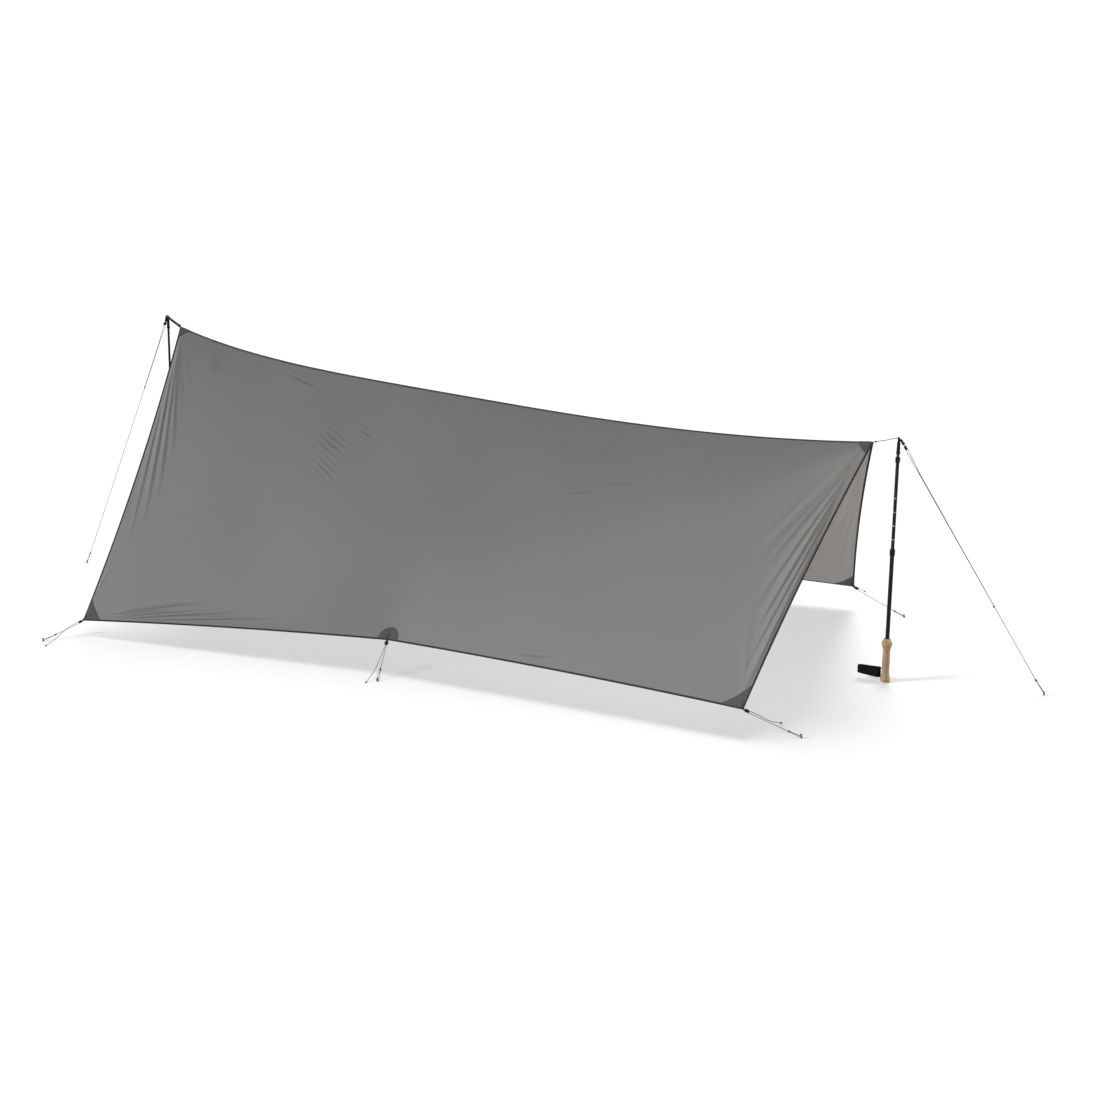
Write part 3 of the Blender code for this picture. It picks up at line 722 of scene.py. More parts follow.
# The plaited sheath of a cord, on a UV map in metres: where its threads stand up, and its flecks
def plait(tree, vector, pitchLength, girth):
    along, across = partsOf(tree, vector)[:2]
    run, turn = along / pitchLength, across / girth
    waves = [((turn * strands + run) * fullTurn).by("SINE") for strands in (3.0, -3.0)]
    fleck = (run * 0.5 + turn).by("FRACT").by("LESS_THAN", patternShares["fleck"])
    return {"Height": waves[0].by("MAXIMUM", waves[1]), "Fleck": fleck}


# Short packing creases: a few parallel waves inside an oval, at a place on the cloth's UV map
def packingCrease(tree, vector, place, turn, length, width, spacing):
    centred = addNode(tree, "ShaderNodeVectorMath", {"operation": "SUBTRACT"}, i0=vector, i1=place).outputs[0]
    turned = addNode(tree, "ShaderNodeVectorRotate", {"rotation_type": "Z_AXIS"}, Vector=centred,
                     Angle=turn).outputs[0]
    along, across = partsOf(tree, turned)[:2]
    away = (along / length).by("POWER", 2.0) + (across / width).by("POWER", 2.0)
    bent = noise(tree, turned, 14.0, 2.0) * (spacing * 0.5) + across
    wave = (bent / spacing * math.pi).by("SINE").by("ABSOLUTE")
    return {"Height": (wave * -1.0 + 1.0).by("POWER", 2.0) * (away * -2.5).by("EXPONENT")}


weaveGroup = makeGroup("clothWeave", weave, ["Vector"], ["Threads", "Grid"])
mottleGroup = makeGroup("mottle", mottle, ["Vector"], ["Scale", "Amount", "Grain"])
stitchGroup = makeGroup("stitchRow", stitchRow, ["Vector"], ["Place", "Width", "Length"])
plaitGroup = makeGroup("plait", plait, ["Vector"], ["Pitch", "Girth"])
creaseGroup = makeGroup("packingCrease", packingCrease, ["Vector", "Place"],
                        ["Turn", "Length", "Width", "Spacing"])


def coordinates(tree, kind):
    return addNode(tree, "ShaderNodeTexCoord").outputs[kind]


def mottled(tree, vector, scale, amount, grain):
    return useGroup(tree, mottleGroup, Vector=vector, Scale=scale, Amount=amount, Grain=grain)["Factor"]


def tinted(tree, colour, factor):
    return addNode(tree, "ShaderNodeVectorMath", {"operation": "SCALE"}, i0=colour, Scale=factor).outputs[0]


def mixColour(tree, factor, first, second):
    node = addNode(tree, "ShaderNodeMix", {"data_type": "RGBA"}, i0=factor)
    for place, colour in ((6, first), (7, second)):
        feed(tree, node.inputs[place], (*colour, 1.0) if isinstance(colour, tuple) else colour)
    return node.outputs[2]


def addBump(tree, shader, height, depth, before=None):
    bump = addNode(tree, "ShaderNodeBump", Height=height, Distance=depth, Strength=1.0)
    if before is not None:
        tree.links.new(before, bump.inputs["Normal"])
    tree.links.new(bump.outputs[0], shader.inputs["Normal"])
    return bump.outputs[0]


shaderInputs = {"colour": "Base Color", "roughness": "Roughness", "specular": "Specular IOR Level",
                "metallic": "Metallic", "sheen": "Sheen Weight", "sheenSpread": "Sheen Roughness",
                "glowColour": "Emission Color", "glow": "Emission Strength"}


def setShader(tree, shader, **looks):
    for key, value in looks.items():
        feed(tree, shader.inputs[shaderInputs[key]], value)


clothLook = {
    "colour": (0.1225, 0.1230, 0.1232),
    "through": (0.73, 0.705, 0.675),
    "light through": 0.38,
    "roughness": 0.46,
    "specular": 0.26,
    "sheen": 0.08,
    "grid": 0.035,
    "creases": [  # metres along the ridge, metres down the near slope, turn, length, width, spacing
        (0.240, -0.110, 24, 0.055, 0.055, 0.014), (0.735, -0.075, 10, 0.120, 0.026, 0.024),
        (0.975, -0.330, 22, 0.110, 0.080, 0.027), (0.990, -0.450, 26, 0.090, 0.055, 0.024),
        (1.130, -0.250, 14, 0.050, 0.028, 0.020), (2.200, -0.325, -16, 0.090, 0.060, 0.024),
        (2.370, -0.262, -9, 0.120, 0.030, 0.022), (2.250, -0.170, -8, 0.060, 0.030, 0.017),
        (2.545, -0.066, -12, 0.080, 0.018, 0.017), (2.650, -0.118, -10, 0.100, 0.026, 0.018),
        (2.330, -1.000, -6, 0.110, 0.026, 0.022), (1.900, 0.400, -30, 0.140, 0.050, 0.026),
        (0.800, 0.300, 40, 0.120, 0.040, 0.024), (2.500, 0.250, -12, 0.100, 0.030, 0.022)],
    "creaseDepth": 0.0030,
}


def makeTarpCloth():
    finish, tree, shader = newFinish("tarpCloth")
    uv = coordinates(tree, "UV")
    woven = useGroup(tree, weaveGroup, Vector=uv, Threads=700.0, Grid=190.0)
    factor = woven["Grid Line"] * clothLook["grid"] + mottled(tree, uv, scale=2.2, amount=0.10, grain=0.05)
    setShader(tree, shader, colour=tinted(tree, clothLook["colour"], factor), sheenSpread=0.4,
              **{key: clothLook[key] for key in ("roughness", "specular", "sheen")})
    creases = None
    for x, y, turn, length, width, spacing in clothLook["creases"]:
        made = useGroup(tree, creaseGroup, Vector=uv, Place=(x, y, 0), Turn=math.radians(turn), Length=length,
                        Width=width, Spacing=spacing)["Height"]
        creases = made if creases is None else creases.by("MAXIMUM", made)
    normal = addBump(tree, shader, woven["Height"], depth=0.00006)
    normal = addBump(tree, shader, creases, clothLook["creaseDepth"], before=normal)
    through = addNode(tree, "ShaderNodeBsdfTranslucent", Color=(*clothLook["through"], 1.0), Normal=normal)
    both = addNode(tree, "ShaderNodeMixShader", i0=clothLook["light through"], i1=shader.outputs[0],
                   i2=through.outputs[0])
    tree.links.new(both.outputs[0], tree.nodes["Material Output"].inputs["Surface"])
    return finish


def makePatchCloth():
    finish, tree, shader = newFinish("patchCloth")
    place = coordinates(tree, "Object")
    woven = useGroup(tree, weaveGroup, Vector=place, Threads=420.0, Grid=260.0)
    fromCorner, turn = partsOf(tree, coordinates(tree, "UV"))[:2]
    swapped = addNode(tree, "ShaderNodeCombineXYZ", i0=turn, i1=fromCorner).outputs[0]
    stitch = useGroup(tree, stitchGroup, Vector=swapped, Place=0.93, Width=0.008, Length=0.045)["Mask"]
    factor = woven["Grid Line"] * 0.18 + mottled(tree, place, scale=30.0, amount=0.18, grain=0.12)
    colour = mixColour(tree, stitch, tinted(tree, (0.040, 0.038, 0.039), factor), (0.018, 0.017, 0.017))
    setShader(tree, shader, colour=colour, roughness=0.62, specular=0.3)
    addBump(tree, shader, stitch * 3.0 + woven["Height"], depth=0.00012)
    return finish


tapeRibs = 900  # per metre


def makeTapeFinish(name, base, thread):
    finish, tree, shader = newFinish(name)
    uv = coordinates(tree, "UV")
    ribs = (partsOf(tree, uv)[0] * (fullTurn * tapeRibs)).by("SINE")
    stitch = useGroup(tree, stitchGroup, Vector=uv, Place=0.0044, Width=0.0005, Length=0.0032)["Mask"]
    factor = ribs * 0.12 + mottled(tree, uv, scale=12.0, amount=0.2, grain=0.15)
    colour = mixColour(tree, stitch, tinted(tree, base, factor), thread)
    setShader(tree, shader, colour=colour, roughness=0.7, specular=0.25)
    addBump(tree, shader, stitch * 3.0 + ribs, depth=0.0001)
    return finish


def makeCordFinish(name, base, fleck, girth=0.00628, pitchLength=0.0035):
    finish, tree, shader = newFinish(name)
    uv = coordinates(tree, "UV")
    sheath = useGroup(tree, plaitGroup, Vector=uv, Pitch=pitchLength, Girth=girth)
    worn = tinted(tree, base, mottled(tree, uv, scale=25.0, amount=0.35, grain=0.2))
    colour = mixColour(tree, sheath["Fleck"], worn, fleck)
    setShader(tree, shader, colour=colour, roughness=0.6, specular=0.10)
    addBump(tree, shader, sheath["Height"], depth=pitchLength * 0.06)
    return finish


tarpCloth, patchCloth = makeTarpCloth(), makePatchCloth()
hemTape = makeTapeFinish("hemTape", (0.010, 0.0098, 0.010), (0.028, 0.027, 0.027))
seamTape = makeTapeFinish("seamTape", (0.022, 0.0215, 0.0215), (0.012, 0.0115, 0.0115))
lineCord = makeCordFinish("lineCord", (0.008, 0.018, 0.014), (0.001, 0.026, 0.016))
knotCord = makeCordFinish("knotCord", (0.006, 0.085, 0.050), (0.04, 0.12, 0.09))
hankCord = makeCordFinish("hankCord", (0.001, 0.062, 0.038), (0.001, 0.020, 0.014), 0.022, 0.012)
darkCord = makeCordFinish("darkCord", (0.006, 0.006, 0.0064), (0.014, 0.014, 0.014))


def plainFinish(name, colour, roughness, bump=0.00005, metallic=0.0, shine=0.5):
    finish, tree, shader = newFinish(name)
    place = coordinates(tree, "Object")
    uneven = useGroup(tree, mottleGroup, Vector=place, Scale=25.0, Amount=0.12, Grain=0.12)
    setShader(tree, shader, colour=tinted(tree, colour, uneven["Factor"]), metallic=metallic, specular=shine,
              roughness=uneven["Noise"] * 0.18 + (roughness - 0.09))
    addBump(tree, shader, noise(tree, place, 300.0, 3.0), bump)
    return finish


blackPlastic = plainFinish("blackPlastic", (0.0045, 0.0045, 0.005), 0.45, bump=0.00003, shine=0.14)
pegTitanium = plainFinish("pegTitanium", (0.13, 0.128, 0.125), 0.42, metallic=1.0, bump=0.00004)
carbideTip = plainFinish("carbideTip", (0.30, 0.29, 0.28), 0.42, metallic=1.0, bump=0.00006)
redPlastic = plainFinish("redPlastic", (0.42, 0.03, 0.02), 0.4)
tubeLook = {
    "colour": (0.007, 0.0065, 0.010),
    "mark": (0.46, 0.46, 0.47),
    "brushing": (2500.0, 12.0, 1.0),
    "markEvery": 0.05,
    "markStart": 0.32,  # where the marks stand between two steps, and their length, as shares of a step
    "markShare": 0.045,
    "markTurn": (0.25, 0.10),  # share of a turn at the middle of a mark, and its half width
    "markRange": (0.50, 0.70),  # heights along the pole, which only the middle section shows
}


def makePoleTube():
    finish, tree, shader = newFinish("poleTube")
    uv = coordinates(tree, "UV")
    along, turn = partsOf(tree, uv)[:2]
    middle, half = tubeLook["markTurn"]
    low, high = tubeLook["markRange"]
    step = (along / tubeLook["markEvery"] + tubeLook["markStart"]).by("FRACT")
    onFront = (turn - middle).by("ABSOLUTE").by("LESS_THAN", half)
    marked = step.by("LESS_THAN", tubeLook["markShare"]) * onFront
    mask = along.by("GREATER_THAN", low) * along.by("LESS_THAN", high) * marked
    factor = mottled(tree, coordinates(tree, "Object"), scale=14.0, amount=0.2, grain=0.1)
    base = tinted(tree, tubeLook["colour"], factor)
    stretched = addNode(tree, "ShaderNodeVectorMath", {"operation": "MULTIPLY"}, i0=uv,
                        i1=tubeLook["brushing"])
    brushed = newValue(tree, "ShaderNodeTexNoise", {"noise_dimensions": "2D"}, Vector=stretched.outputs[0],
                       Scale=1.0, Detail=3.0)
    setShader(tree, shader, colour=mixColour(tree, mask, base, tubeLook["mark"]), metallic=0.2, specular=0.14,
              roughness=brushed * 0.14 + 0.27)
    addBump(tree, shader, brushed, depth=0.00002)
    return finish


def makeCork():
    finish, tree, shader = newFinish("corkGrip")
    place = coordinates(tree, "Object")
    cells = addNode(tree, "ShaderNodeTexVoronoi", {"feature": "F1"}, Vector=place, Scale=420.0)
    grains = newValue(tree, "ShaderNodeTexVoronoi", {"feature": "DISTANCE_TO_EDGE"}, Vector=place,
                      Scale=330.0)
    pits = addNode(tree, "ShaderNodeValToRGB", Fac=noise(tree, place, 240.0, 4.0, Roughness=0.6))
    for element, position in zip(pits.color_ramp.elements, (0.60, 0.68)):
        element.position = position
    spread = NodeValue(tree, cells.outputs["Color"]) * 0.22 + 0.89
    factor = spread * mottled(tree, place, scale=45.0, amount=0.55, grain=0.25)
    body = tinted(tree, (0.27, 0.178, 0.104), factor)
    colour = mixColour(tree, pits.outputs[0], body, (0.13, 0.075, 0.040))
    setShader(tree, shader, colour=colour, roughness=0.82)
    addBump(tree, shader, grains * 0.8 - pits.outputs[0], depth=0.0005)
    return finish


webbing = {"colour": (0.003, 0.003, 0.0031), "ribs": 700, "picks": 500}  # threads per metre


def makeWebbing():
    finish, tree, shader = newFinish("strapWebbing")
    uv = coordinates(tree, "UV")
    along, across = partsOf(tree, uv)[:2]
    ribs = (across * (fullTurn * webbing["ribs"])).by("SINE")
    woven = (along * (fullTurn * webbing["picks"])).by("SINE") * 0.6 + ribs
    factor = woven * 0.12 + mottled(tree, uv, scale=40.0, amount=0.3, grain=0.2)
    setShader(tree, shader, colour=tinted(tree, webbing["colour"], factor), roughness=0.8, specular=0.1)
    addBump(tree, shader, woven, depth=0.00015)
    return finish


poleTube, corkGrip, strapWebbing = makePoleTube(), makeCork(), makeWebbing()
print("finishes done")


def resize(scale, centre):
    bpy.ops.transform.resize(value=scale, center_override=centre)


# Turned pieces: rings are (radius, height) from the bottom up; a hollow one closes on itself
def turnedPiece(name, rings, sides=32, hollow=False):
    deselect()
    radius, height = rings[0]
    bpy.ops.mesh.primitive_circle_add(vertices=sides, radius=radius, location=(0, 0, height),
                                      fill_type="NOTHING" if hollow else "NGON")
    obj = bpy.context.object
    obj.name = name
    bpy.ops.object.transform_apply(location=True)
    useMode("EDIT")
    bpy.ops.mesh.select_mode(type="EDGE" if hollow else "FACE")
    bpy.ops.mesh.select_all(action="SELECT")
    extrude = bpy.ops.mesh.extrude_edges_move if hollow else bpy.ops.mesh.extrude_region_move
    for nextRadius, nextHeight in rings[1:] + (rings[:1] if hollow else []):
        extrude(TRANSFORM_OT_translate={"value": (0, 0, nextHeight - height)})
        scale = nextRadius / radius
        resize((scale, scale, 1), (0, 0, nextHeight))
        radius, height = nextRadius, nextHeight
    bpy.ops.mesh.select_all(action="SELECT")
    if hollow:
        bpy.ops.mesh.remove_doubles(threshold=1e-6)
    bpy.ops.mesh.normals_make_consistent(inside=False)
    useMode("OBJECT")
    heightMap(obj)
    return obj


# UV map of a turned piece: metres along its axis, share of a turn round it
def heightMap(obj):
    mesh = obj.data
    layer = mesh.uv_layers["UVMap"] if "UVMap" in mesh.uv_layers else mesh.uv_layers.new(name="UVMap")
    layer.name = "along"
    for face in mesh.polygons:
        places = [mesh.vertices[mesh.loops[corner].vertex_index].co for corner in face.loop_indices]
        turns = [(math.atan2(place.y, place.x) / fullTurn) % 1.0 for place in places]
        wraps = max(turns) - min(turns) > 0.5
        for corner, place, turn in zip(face.loop_indices, places, turns):
            layer.data[corner].uv = (place.z, turn + 1 if wraps and turn < 0.5 else turn)


def pickFaces(obj, test):
    useMode("OBJECT")
    mesh = obj.data
    for part in (mesh.vertices, mesh.edges, mesh.polygons):
        part.foreach_set("select", [False] * len(part))
    for face in mesh.polygons:
        face.select = bool(test(face))
    useMode("EDIT")
    bpy.ops.mesh.select_mode(type="FACE")


def pickVerts(obj, test):
    bpy.ops.mesh.select_mode(type="VERT")
    useMode("OBJECT")
    for vert in obj.data.vertices:
        vert.select = test(vert.co)
    useMode("EDIT")


def newBlock(name, place, size):
    deselect()
    bpy.ops.mesh.primitive_cube_add(size=1, location=place, scale=size)
    obj = bpy.context.object
    obj.name = name
    bpy.ops.object.transform_apply(location=True, scale=True)
    return obj


# Lines: each goes round its peg, up to its adjuster, round its bar and back in a loose tail
lines = {
    "radius": 0.001,
    "turn": 0.004,
    "bight": 0.0045,  # radius of the loop round a peg
    "height": 0.003,
    "pegShaft": 0.0022,
    "clearance": 0.0003,
    "knotGap": 0.14,  # share of the way from its knot to the adjuster where a line runs straight again
    "swell": 0.0009,
    "tailJoin": 0.10,
    "tailRest": 0.0028,  # least height of a stopper's middle over the ground
    "hemRadius": 0.0025,
    "fromTip": 0.036,
    "belowTip": 0.008,
    "tipRadius": 0.003,
}
adjuster = {
    "start": 0.004,
    "length": 0.020,  # from the tie to its end
    "width": 0.014,
    "thickness": 0.0034,
    "bar": 0.0035,
    "neck": 0.005,
    "slot": (0.0055, 0.0080, 0.0042),  # start, end and half width
    "window": (0.0095, 0.0165, 0.0030),
    "endWidths": (0.70, 0.66),
    "endThickness": 0.8,
    "wall": (0.005, 0.018, 0.0044, 2.1),  # start, end, inner face and height, as a share of the plate's
    "bevel": 0.0006,
}
hemLines = {  # the peg, then the loose tail from the adjuster
    "tall_near": ((-1.632, -0.982, 0),
                  [(-1.566, -0.905, 0.040), (-1.572, -0.960, 0.016), (-1.573, -1.020, 0.0015)]),
    "tall_far": ((-1.640, 0.985, 0),
                 [(-1.566, 0.905, 0.040), (-1.580, 0.955, 0.018), (-1.588, 1.012, 0.0015)]),
    "side_near": ((-0.019, -0.797, 0),
                  [(-0.052, -0.713, 0.074), (-0.052, -0.765, 0.030), (-0.053, -0.825, 0.0015)]),
    "side_far": ((-0.020, 0.800, 0),
                 [(-0.054, 0.713, 0.074), (-0.058, 0.765, 0.030), (-0.062, 0.822, 0.0015)]),
    "low_near": ((1.609, -0.655, 0),
                 [(1.464, -0.672, 0.065), (1.489, -0.622, 0.027), (1.511, -0.572, 0.0015)]),
    "low_far": ((1.650, 0.639, 0), [(1.453, 0.692, 0.083), (1.468, 0.690, 0.077)]),
}
ridgeLines = {
    "tall": {"peg": (-2.351, -0.061, 0), "tail": 0.340, "foot": (-1.745, -0.052, 0.0),
             "tip": (-1.661, 0.017, 1.270), "peak": tallPeak, "cordRadius": 0.0058},
    "low": {"peg": (2.287, 0.019, 0), "tail": 0.640, "foot": (1.745, -0.070, 0.0),
            "tip": (1.745, 0.004, 0.907), "peak": lowPeak, "cordRadius": 0.00125},
}
knotFromPeg = {"tall_near": 0.055, "tall_far": 0.052, "side_near": 0.050, "side_far": 0.055,
               "low_near": 0.043, "low_far": 0.046, "tall_ridge": 0.058, "low_ridge": 0.056}


def lineAxes(tie, pegEnd):
    toward = (pegEnd - tie).normalized()
    across = upZ.cross(toward).normalized()
    return toward, across, toward.cross(across)


def turnPoint(tie, toward, upward, angle):
    inner = lines["turn"] - lines["radius"] - lines["clearance"]
    half = adjuster["thickness"] / 2
    centre = adjuster["length"] - adjuster["bar"] + math.sqrt(inner**2 - half**2)
    back = lines["turn"] * math.sin(math.radians(angle))
    rise = -lines["turn"] * math.cos(math.radians(angle))
    return tie + toward * (centre - back) + upward * rise


def smoothRoute(points, pieces):
    route = []
    for i in range(len(points) - 1):
        start, end = points[i], points[i + 1]
        before = points[max(i - 1, 0)]
        after = points[min(i + 2, len(points) - 1)]
        length = (end - start).length
        leave = (end - before).normalized() * length
        arrive = (after - start).normalized() * length
        for step in range(pieces):
            t = step / pieces
            route.append(start * (2 * t**3 - 3 * t**2 + 1) + leave * (t**3 - 2 * t**2 + t)
                         + end * (3 * t**2 - 2 * t**3) + arrive * (t**3 - t**2))
    return [*route, points[-1]]


def straightRun(start, end, pieces):
    return [start.lerp(end, i / pieces) for i in range(pieces)]


knots = {
    "stepsPerTurn": 14,
    "pitch": 2.05,  # from one turn to the next, in radii of the cord
    "over": 0.9,
    "tuckSteps": 6,
    "tuckedTo": 0.4,
    "line": (0.0017, 5),  # radius inside the turns, and how many there are
    "end": (0.0016, 3),
    "stopper": 0.0011,
    "stopperCord": 1.05,
    "stopperLift": 1.3,
}


def cordPiece(name, points, radius, finish=lineCord, sides=8):
    return dress(sweepTube(name, points, radius, sides), finish)


# A barrel knot: turns of cord wound round the line
def makeKnot(name, centre, way, inner, turns, finish, slot="line_cord"):
    radius = lines["radius"]
    side = way.cross(upZ).normalized()
    other = way.cross(side)
    points = []
    steps = turns * knots["stepsPerTurn"]
    for i in range(steps + 1):
        tuck = min(1, i / knots["tuckSteps"], (steps - i) / knots["tuckSteps"])
        reach = (inner + radius * knots["over"]) * tuck + inner * knots["tuckedTo"] * (1 - tuck)
        run = (i / steps - 0.5) * turns * radius * knots["pitch"]
        points.append(aroundPoint(centre + way * run, side, other, reach, fullTurn * turns * i / steps))
    return cordPiece(name, points, radius, finish)


# A stopper: an overhand knot at the end of a tail
def makeStopper(name, centre, finish):
    points = []
    for i in range(49):
        t = fullTurn * i / 48 * 0.97
        spot = Vector((math.sin(t) + 2 * math.sin(2 * t), math.cos(t) - 2 * math.cos(2 * t),
                       -knots["stopperLift"] * math.sin(3 * t)))
        points.append(centre + spot * knots["stopper"])
    return cordPiece(name, points, lines["radius"] * knots["stopperCord"], finish)


def placedCopy(pattern, name, place, ways):
    turned = Matrix(ways).transposed().to_4x4()
    return copyOf(pattern, name, Matrix.Translation(place) @ turned)


# One half of the bight round a peg, from the peg's far face to the knot
def bightHalf(pegEnd, knotAt, level, beside, sign):
    bight, radius = lines["bight"], lines["radius"]
    back = lines["pegShaft"] + lines["clearance"] + radius
    climb = (knotAt.z - pegEnd.z) / ((knotAt - pegEnd).dot(level) + back)
    arc = []
    for angle in range(0, 91, 15):
        ahead = bight * (1 - math.cos(math.radians(angle)))
        out = sign * bight * math.sin(math.radians(angle))
        arc.append(pegEnd + level * (ahead - back) + upZ * climb * ahead + beside * out)
    lastLeg = knotAt + beside * (sign * radius * 0.9)
    bend = []
    for share in (0.1, 0.3, 0.5, 0.7, 0.9):
        swell = lines["swell"] * (1 - share) * math.sin(math.pi * share)
        bend.append(arc[-1].lerp(lastLeg, share) + beside * (sign * swell))
    return [*arc, *bend, lastLeg]


# A tail through chosen points, or a length of it laid back along the line
def looseTail(turn, pegEnd, level, toward, upward, tail, pieces):
    radius, clearance = lines["radius"], lines["clearance"]
    if isinstance(tail, list):
        lead = turn[-1] + toward * 3 * radius
        return smoothRoute([lead, *(Vector(point) for point in tail)], 7)
    start = pegEnd + level * (lines["pegShaft"] + clearance + radius * abs(toward.z))
    span = (turn[0] - start).length
    over = upward * (2 * radius + clearance)
    end = start.lerp(turn[0], 1 - tail / span) + over
    near = start.lerp(turn[0], 1 - lines["tailJoin"] / span) + over
    return [*smoothRoute([turn[-1], turn[-1].lerp(near, 0.5), near], 4)[1:-1],
            *straightRun(near, end, pieces // 2), end]


def makeLine(name, tie, peg, tail, pieces):
    label = camel(name)
    peg = Vector(peg)
    pegEnd = peg + upZ * lines["height"]
    toward, across, upward = lineAxes(tie, pegEnd)
    radius = lines["radius"]
    level = Vector((-toward.x, -toward.y, 0)).normalized()
    beside = Vector((-level.y, level.x, 0))
    turn = [turnPoint(tie, toward, upward, angle) for angle in range(0, 181, 15)]
    knotAt = pegEnd.lerp(turn[0], knotFromPeg[name] / (turn[0] - pegEnd).length)
    legs = [bightHalf(pegEnd, knotAt, level, beside, sign) for sign in (1, -1)]
    path = [*legs[0], *straightRun(knotAt.lerp(turn[0], lines["knotGap"]), turn[0], pieces), *turn,
            *looseTail(turn, pegEnd, level, toward, upward, tail, pieces)]
    cord = cordPiece(f"{label}Line", path, radius, sides=10)
    loop = cordPiece(f"{label}Loop", legs[1], radius * 0.98, sides=10)
    knot = makeKnot(f"{label}Knot", knotAt, toward, *knots["line"], knotCord)
    end = path[-1]
    if isinstance(tail, list):
        centre = end + upZ * max(lines["tailRest"] - end.z, 0) + (end - path[-2]).normalized() * radius
        stopper = makeStopper(f"{label}Stopper", centre, darkCord if name == "low_far" else lineCord)
    else:
        centre = end - upward * 1.15 * radius
        stopper = makeKnot(f"{label}Stopper", centre, toward, *knots["end"], darkCord)
    total = float(routeLengths(path)[-1])
    plate = placedCopy(hardware["adjuster"], f"{label}Adjuster", tie, (toward, across, upward))
    dress(plate, blackPlastic)
    pin = placedCopy(hardware["peg"], f"{label}Peg", peg, (level, beside, upZ))
    dress(pin, pegTitanium)
    return total


# A small plate for line: a slot for its tie, and a window for the line to turn in
def makeAdjuster():
    start, end, thickness = adjuster["start"], adjuster["length"], adjuster["thickness"]
    obj = newBlock("adjusterPattern", ((start + end) / 2, 0, 0), (end - start, adjuster["width"], thickness))
    useMode("EDIT")
    holes = (adjuster["slot"], adjuster["window"])
    cuts = [((place, 0, 0), (1, 0, 0)) for low, high, _ in holes for place in (low, high)]
    sides = sorted(sign * half for _, _, half in holes for sign in (-1, 1))
    cuts += [((0, place, 0), (0, 1, 0)) for place in sides]
    for place, way in cuts:
        bpy.ops.mesh.select_all(action="SELECT")
        bpy.ops.mesh.bisect(plane_co=place, plane_no=way)
    for low, high, half in holes:
        pickFaces(obj, lambda face: abs(face.normal.z) > 0.9 and low < face.center.x < high
                  and abs(face.center.y) < half)
        bpy.ops.mesh.bridge_edge_loops()
    for place, scale in zip((start, end), adjuster["endWidths"]):
        pickVerts(obj, lambda spot: abs(spot.x - place) < 0.0002)
        resize((1, scale, adjuster["endThickness"]), (place, 0, 0))
    # raised walls beside the line
    low, high, inside, height = adjuster["wall"]
    pickVerts(obj, lambda spot: abs(spot.y) > inside and low < spot.x < high)
    resize((1, 1, height), ((low + high) / 2, 0, 0))
    bpy.ops.mesh.select_all(action="SELECT")
    bpy.ops.mesh.normals_make_consistent(inside=False)
    useMode("OBJECT")
    return smoothed(bevelled(obj, adjuster["bevel"]))


# A pin peg, pushed in to its head
def makePeg():
    rings = [(0.0020, 0.0), (0.0022, 0.0004), (0.0022, 0.0098), (0.0026, 0.0106), (0.0041, 0.0110),
             (0.0045, 0.0114), (0.0045, 0.0124), (0.0042, 0.0130), (0.0030, 0.0134), (0.0012, 0.0135)]
    return smoothed(turnedPiece("pegPattern", rings, 28), 40)


def hemTie(name):
    peg = hemLines[name][0]
    end, place = name.split("_")
    flip = sideFlip(-1 if place == "near" else 1)
    hemPoint = Vector({"tall": tallCorner, "side": sideTie, "low": lowCorner}[end] * flip)
    toward = (Vector(peg) - hemPoint).normalized()
    if end == "side":
        slant = abs(toward.x)
        reach = lines["hemRadius"] + lines["clearance"] + slant * adjuster["neck"] / 2
        return hemPoint + toward * (reach / math.sqrt(1 - slant**2))
    edge = tallEdge if end == "tall" else lowEdge
    hemWay = (hemPoint - Vector(edge(0.95) * flip)).normalized()
    slant = math.sqrt(1 - hemWay.dot(toward)**2)
    return hemPoint + toward * (lines["clearance"] + lines["hemRadius"] * slant)


# Where a ridge line's adjuster is tied, on the straight way from the pole's tip to the peg
def ridgeTie(line):
    tip = Vector(line["tip"])
    return tip + (Vector(line["peg"]) - tip).normalized() * lines["fromTip"]


def makeLines():
    made = {name: makeLine(name, hemTie(name), *hemLines[name], 12) for name in hemLines}
    for end, line in ridgeLines.items():
        made[f"{end}_ridge"] = makeLine(f"{end}_ridge", ridgeTie(line), line["peg"], line["tail"], 30)
    return made


# Peak cords, from the ends of the ridge past the pole tips to the ridge adjusters
peakCords = {
    "tall": {"finish": hankCord, "slot": "peak_cord", "strands": 4, "sides": 16, "knotAt": 0.10, "knot": 0.9},
    "low": {"finish": lineCord, "slot": "line_cord", "strands": 0, "sides": 10, "knotAt": 0.07, "knot": 1.2},
}
hankLay = 0.030
tipHitch = {"radius": 0.0011, "turns": 3, "steps": 44, "below": 0.0125, "rise": 0.0075}
ridgeLink = {"over": 0.0005, "least": 0.0045, "past": 0.006, "short": 0.002}
eye = {
    "half": [(-0.0040, 0.0008), (-0.0010, 0.0022), (0.0022, 0.0027), (0.0047, 0.0028), (0.0064, 0.0018)],
    "nose": 0.0068,
    "radius": 0.00085,
}


def mirroredLoop(half, nose):
    return [*half, (nose, 0), *((x, -z) for x, z in half[::-1])]


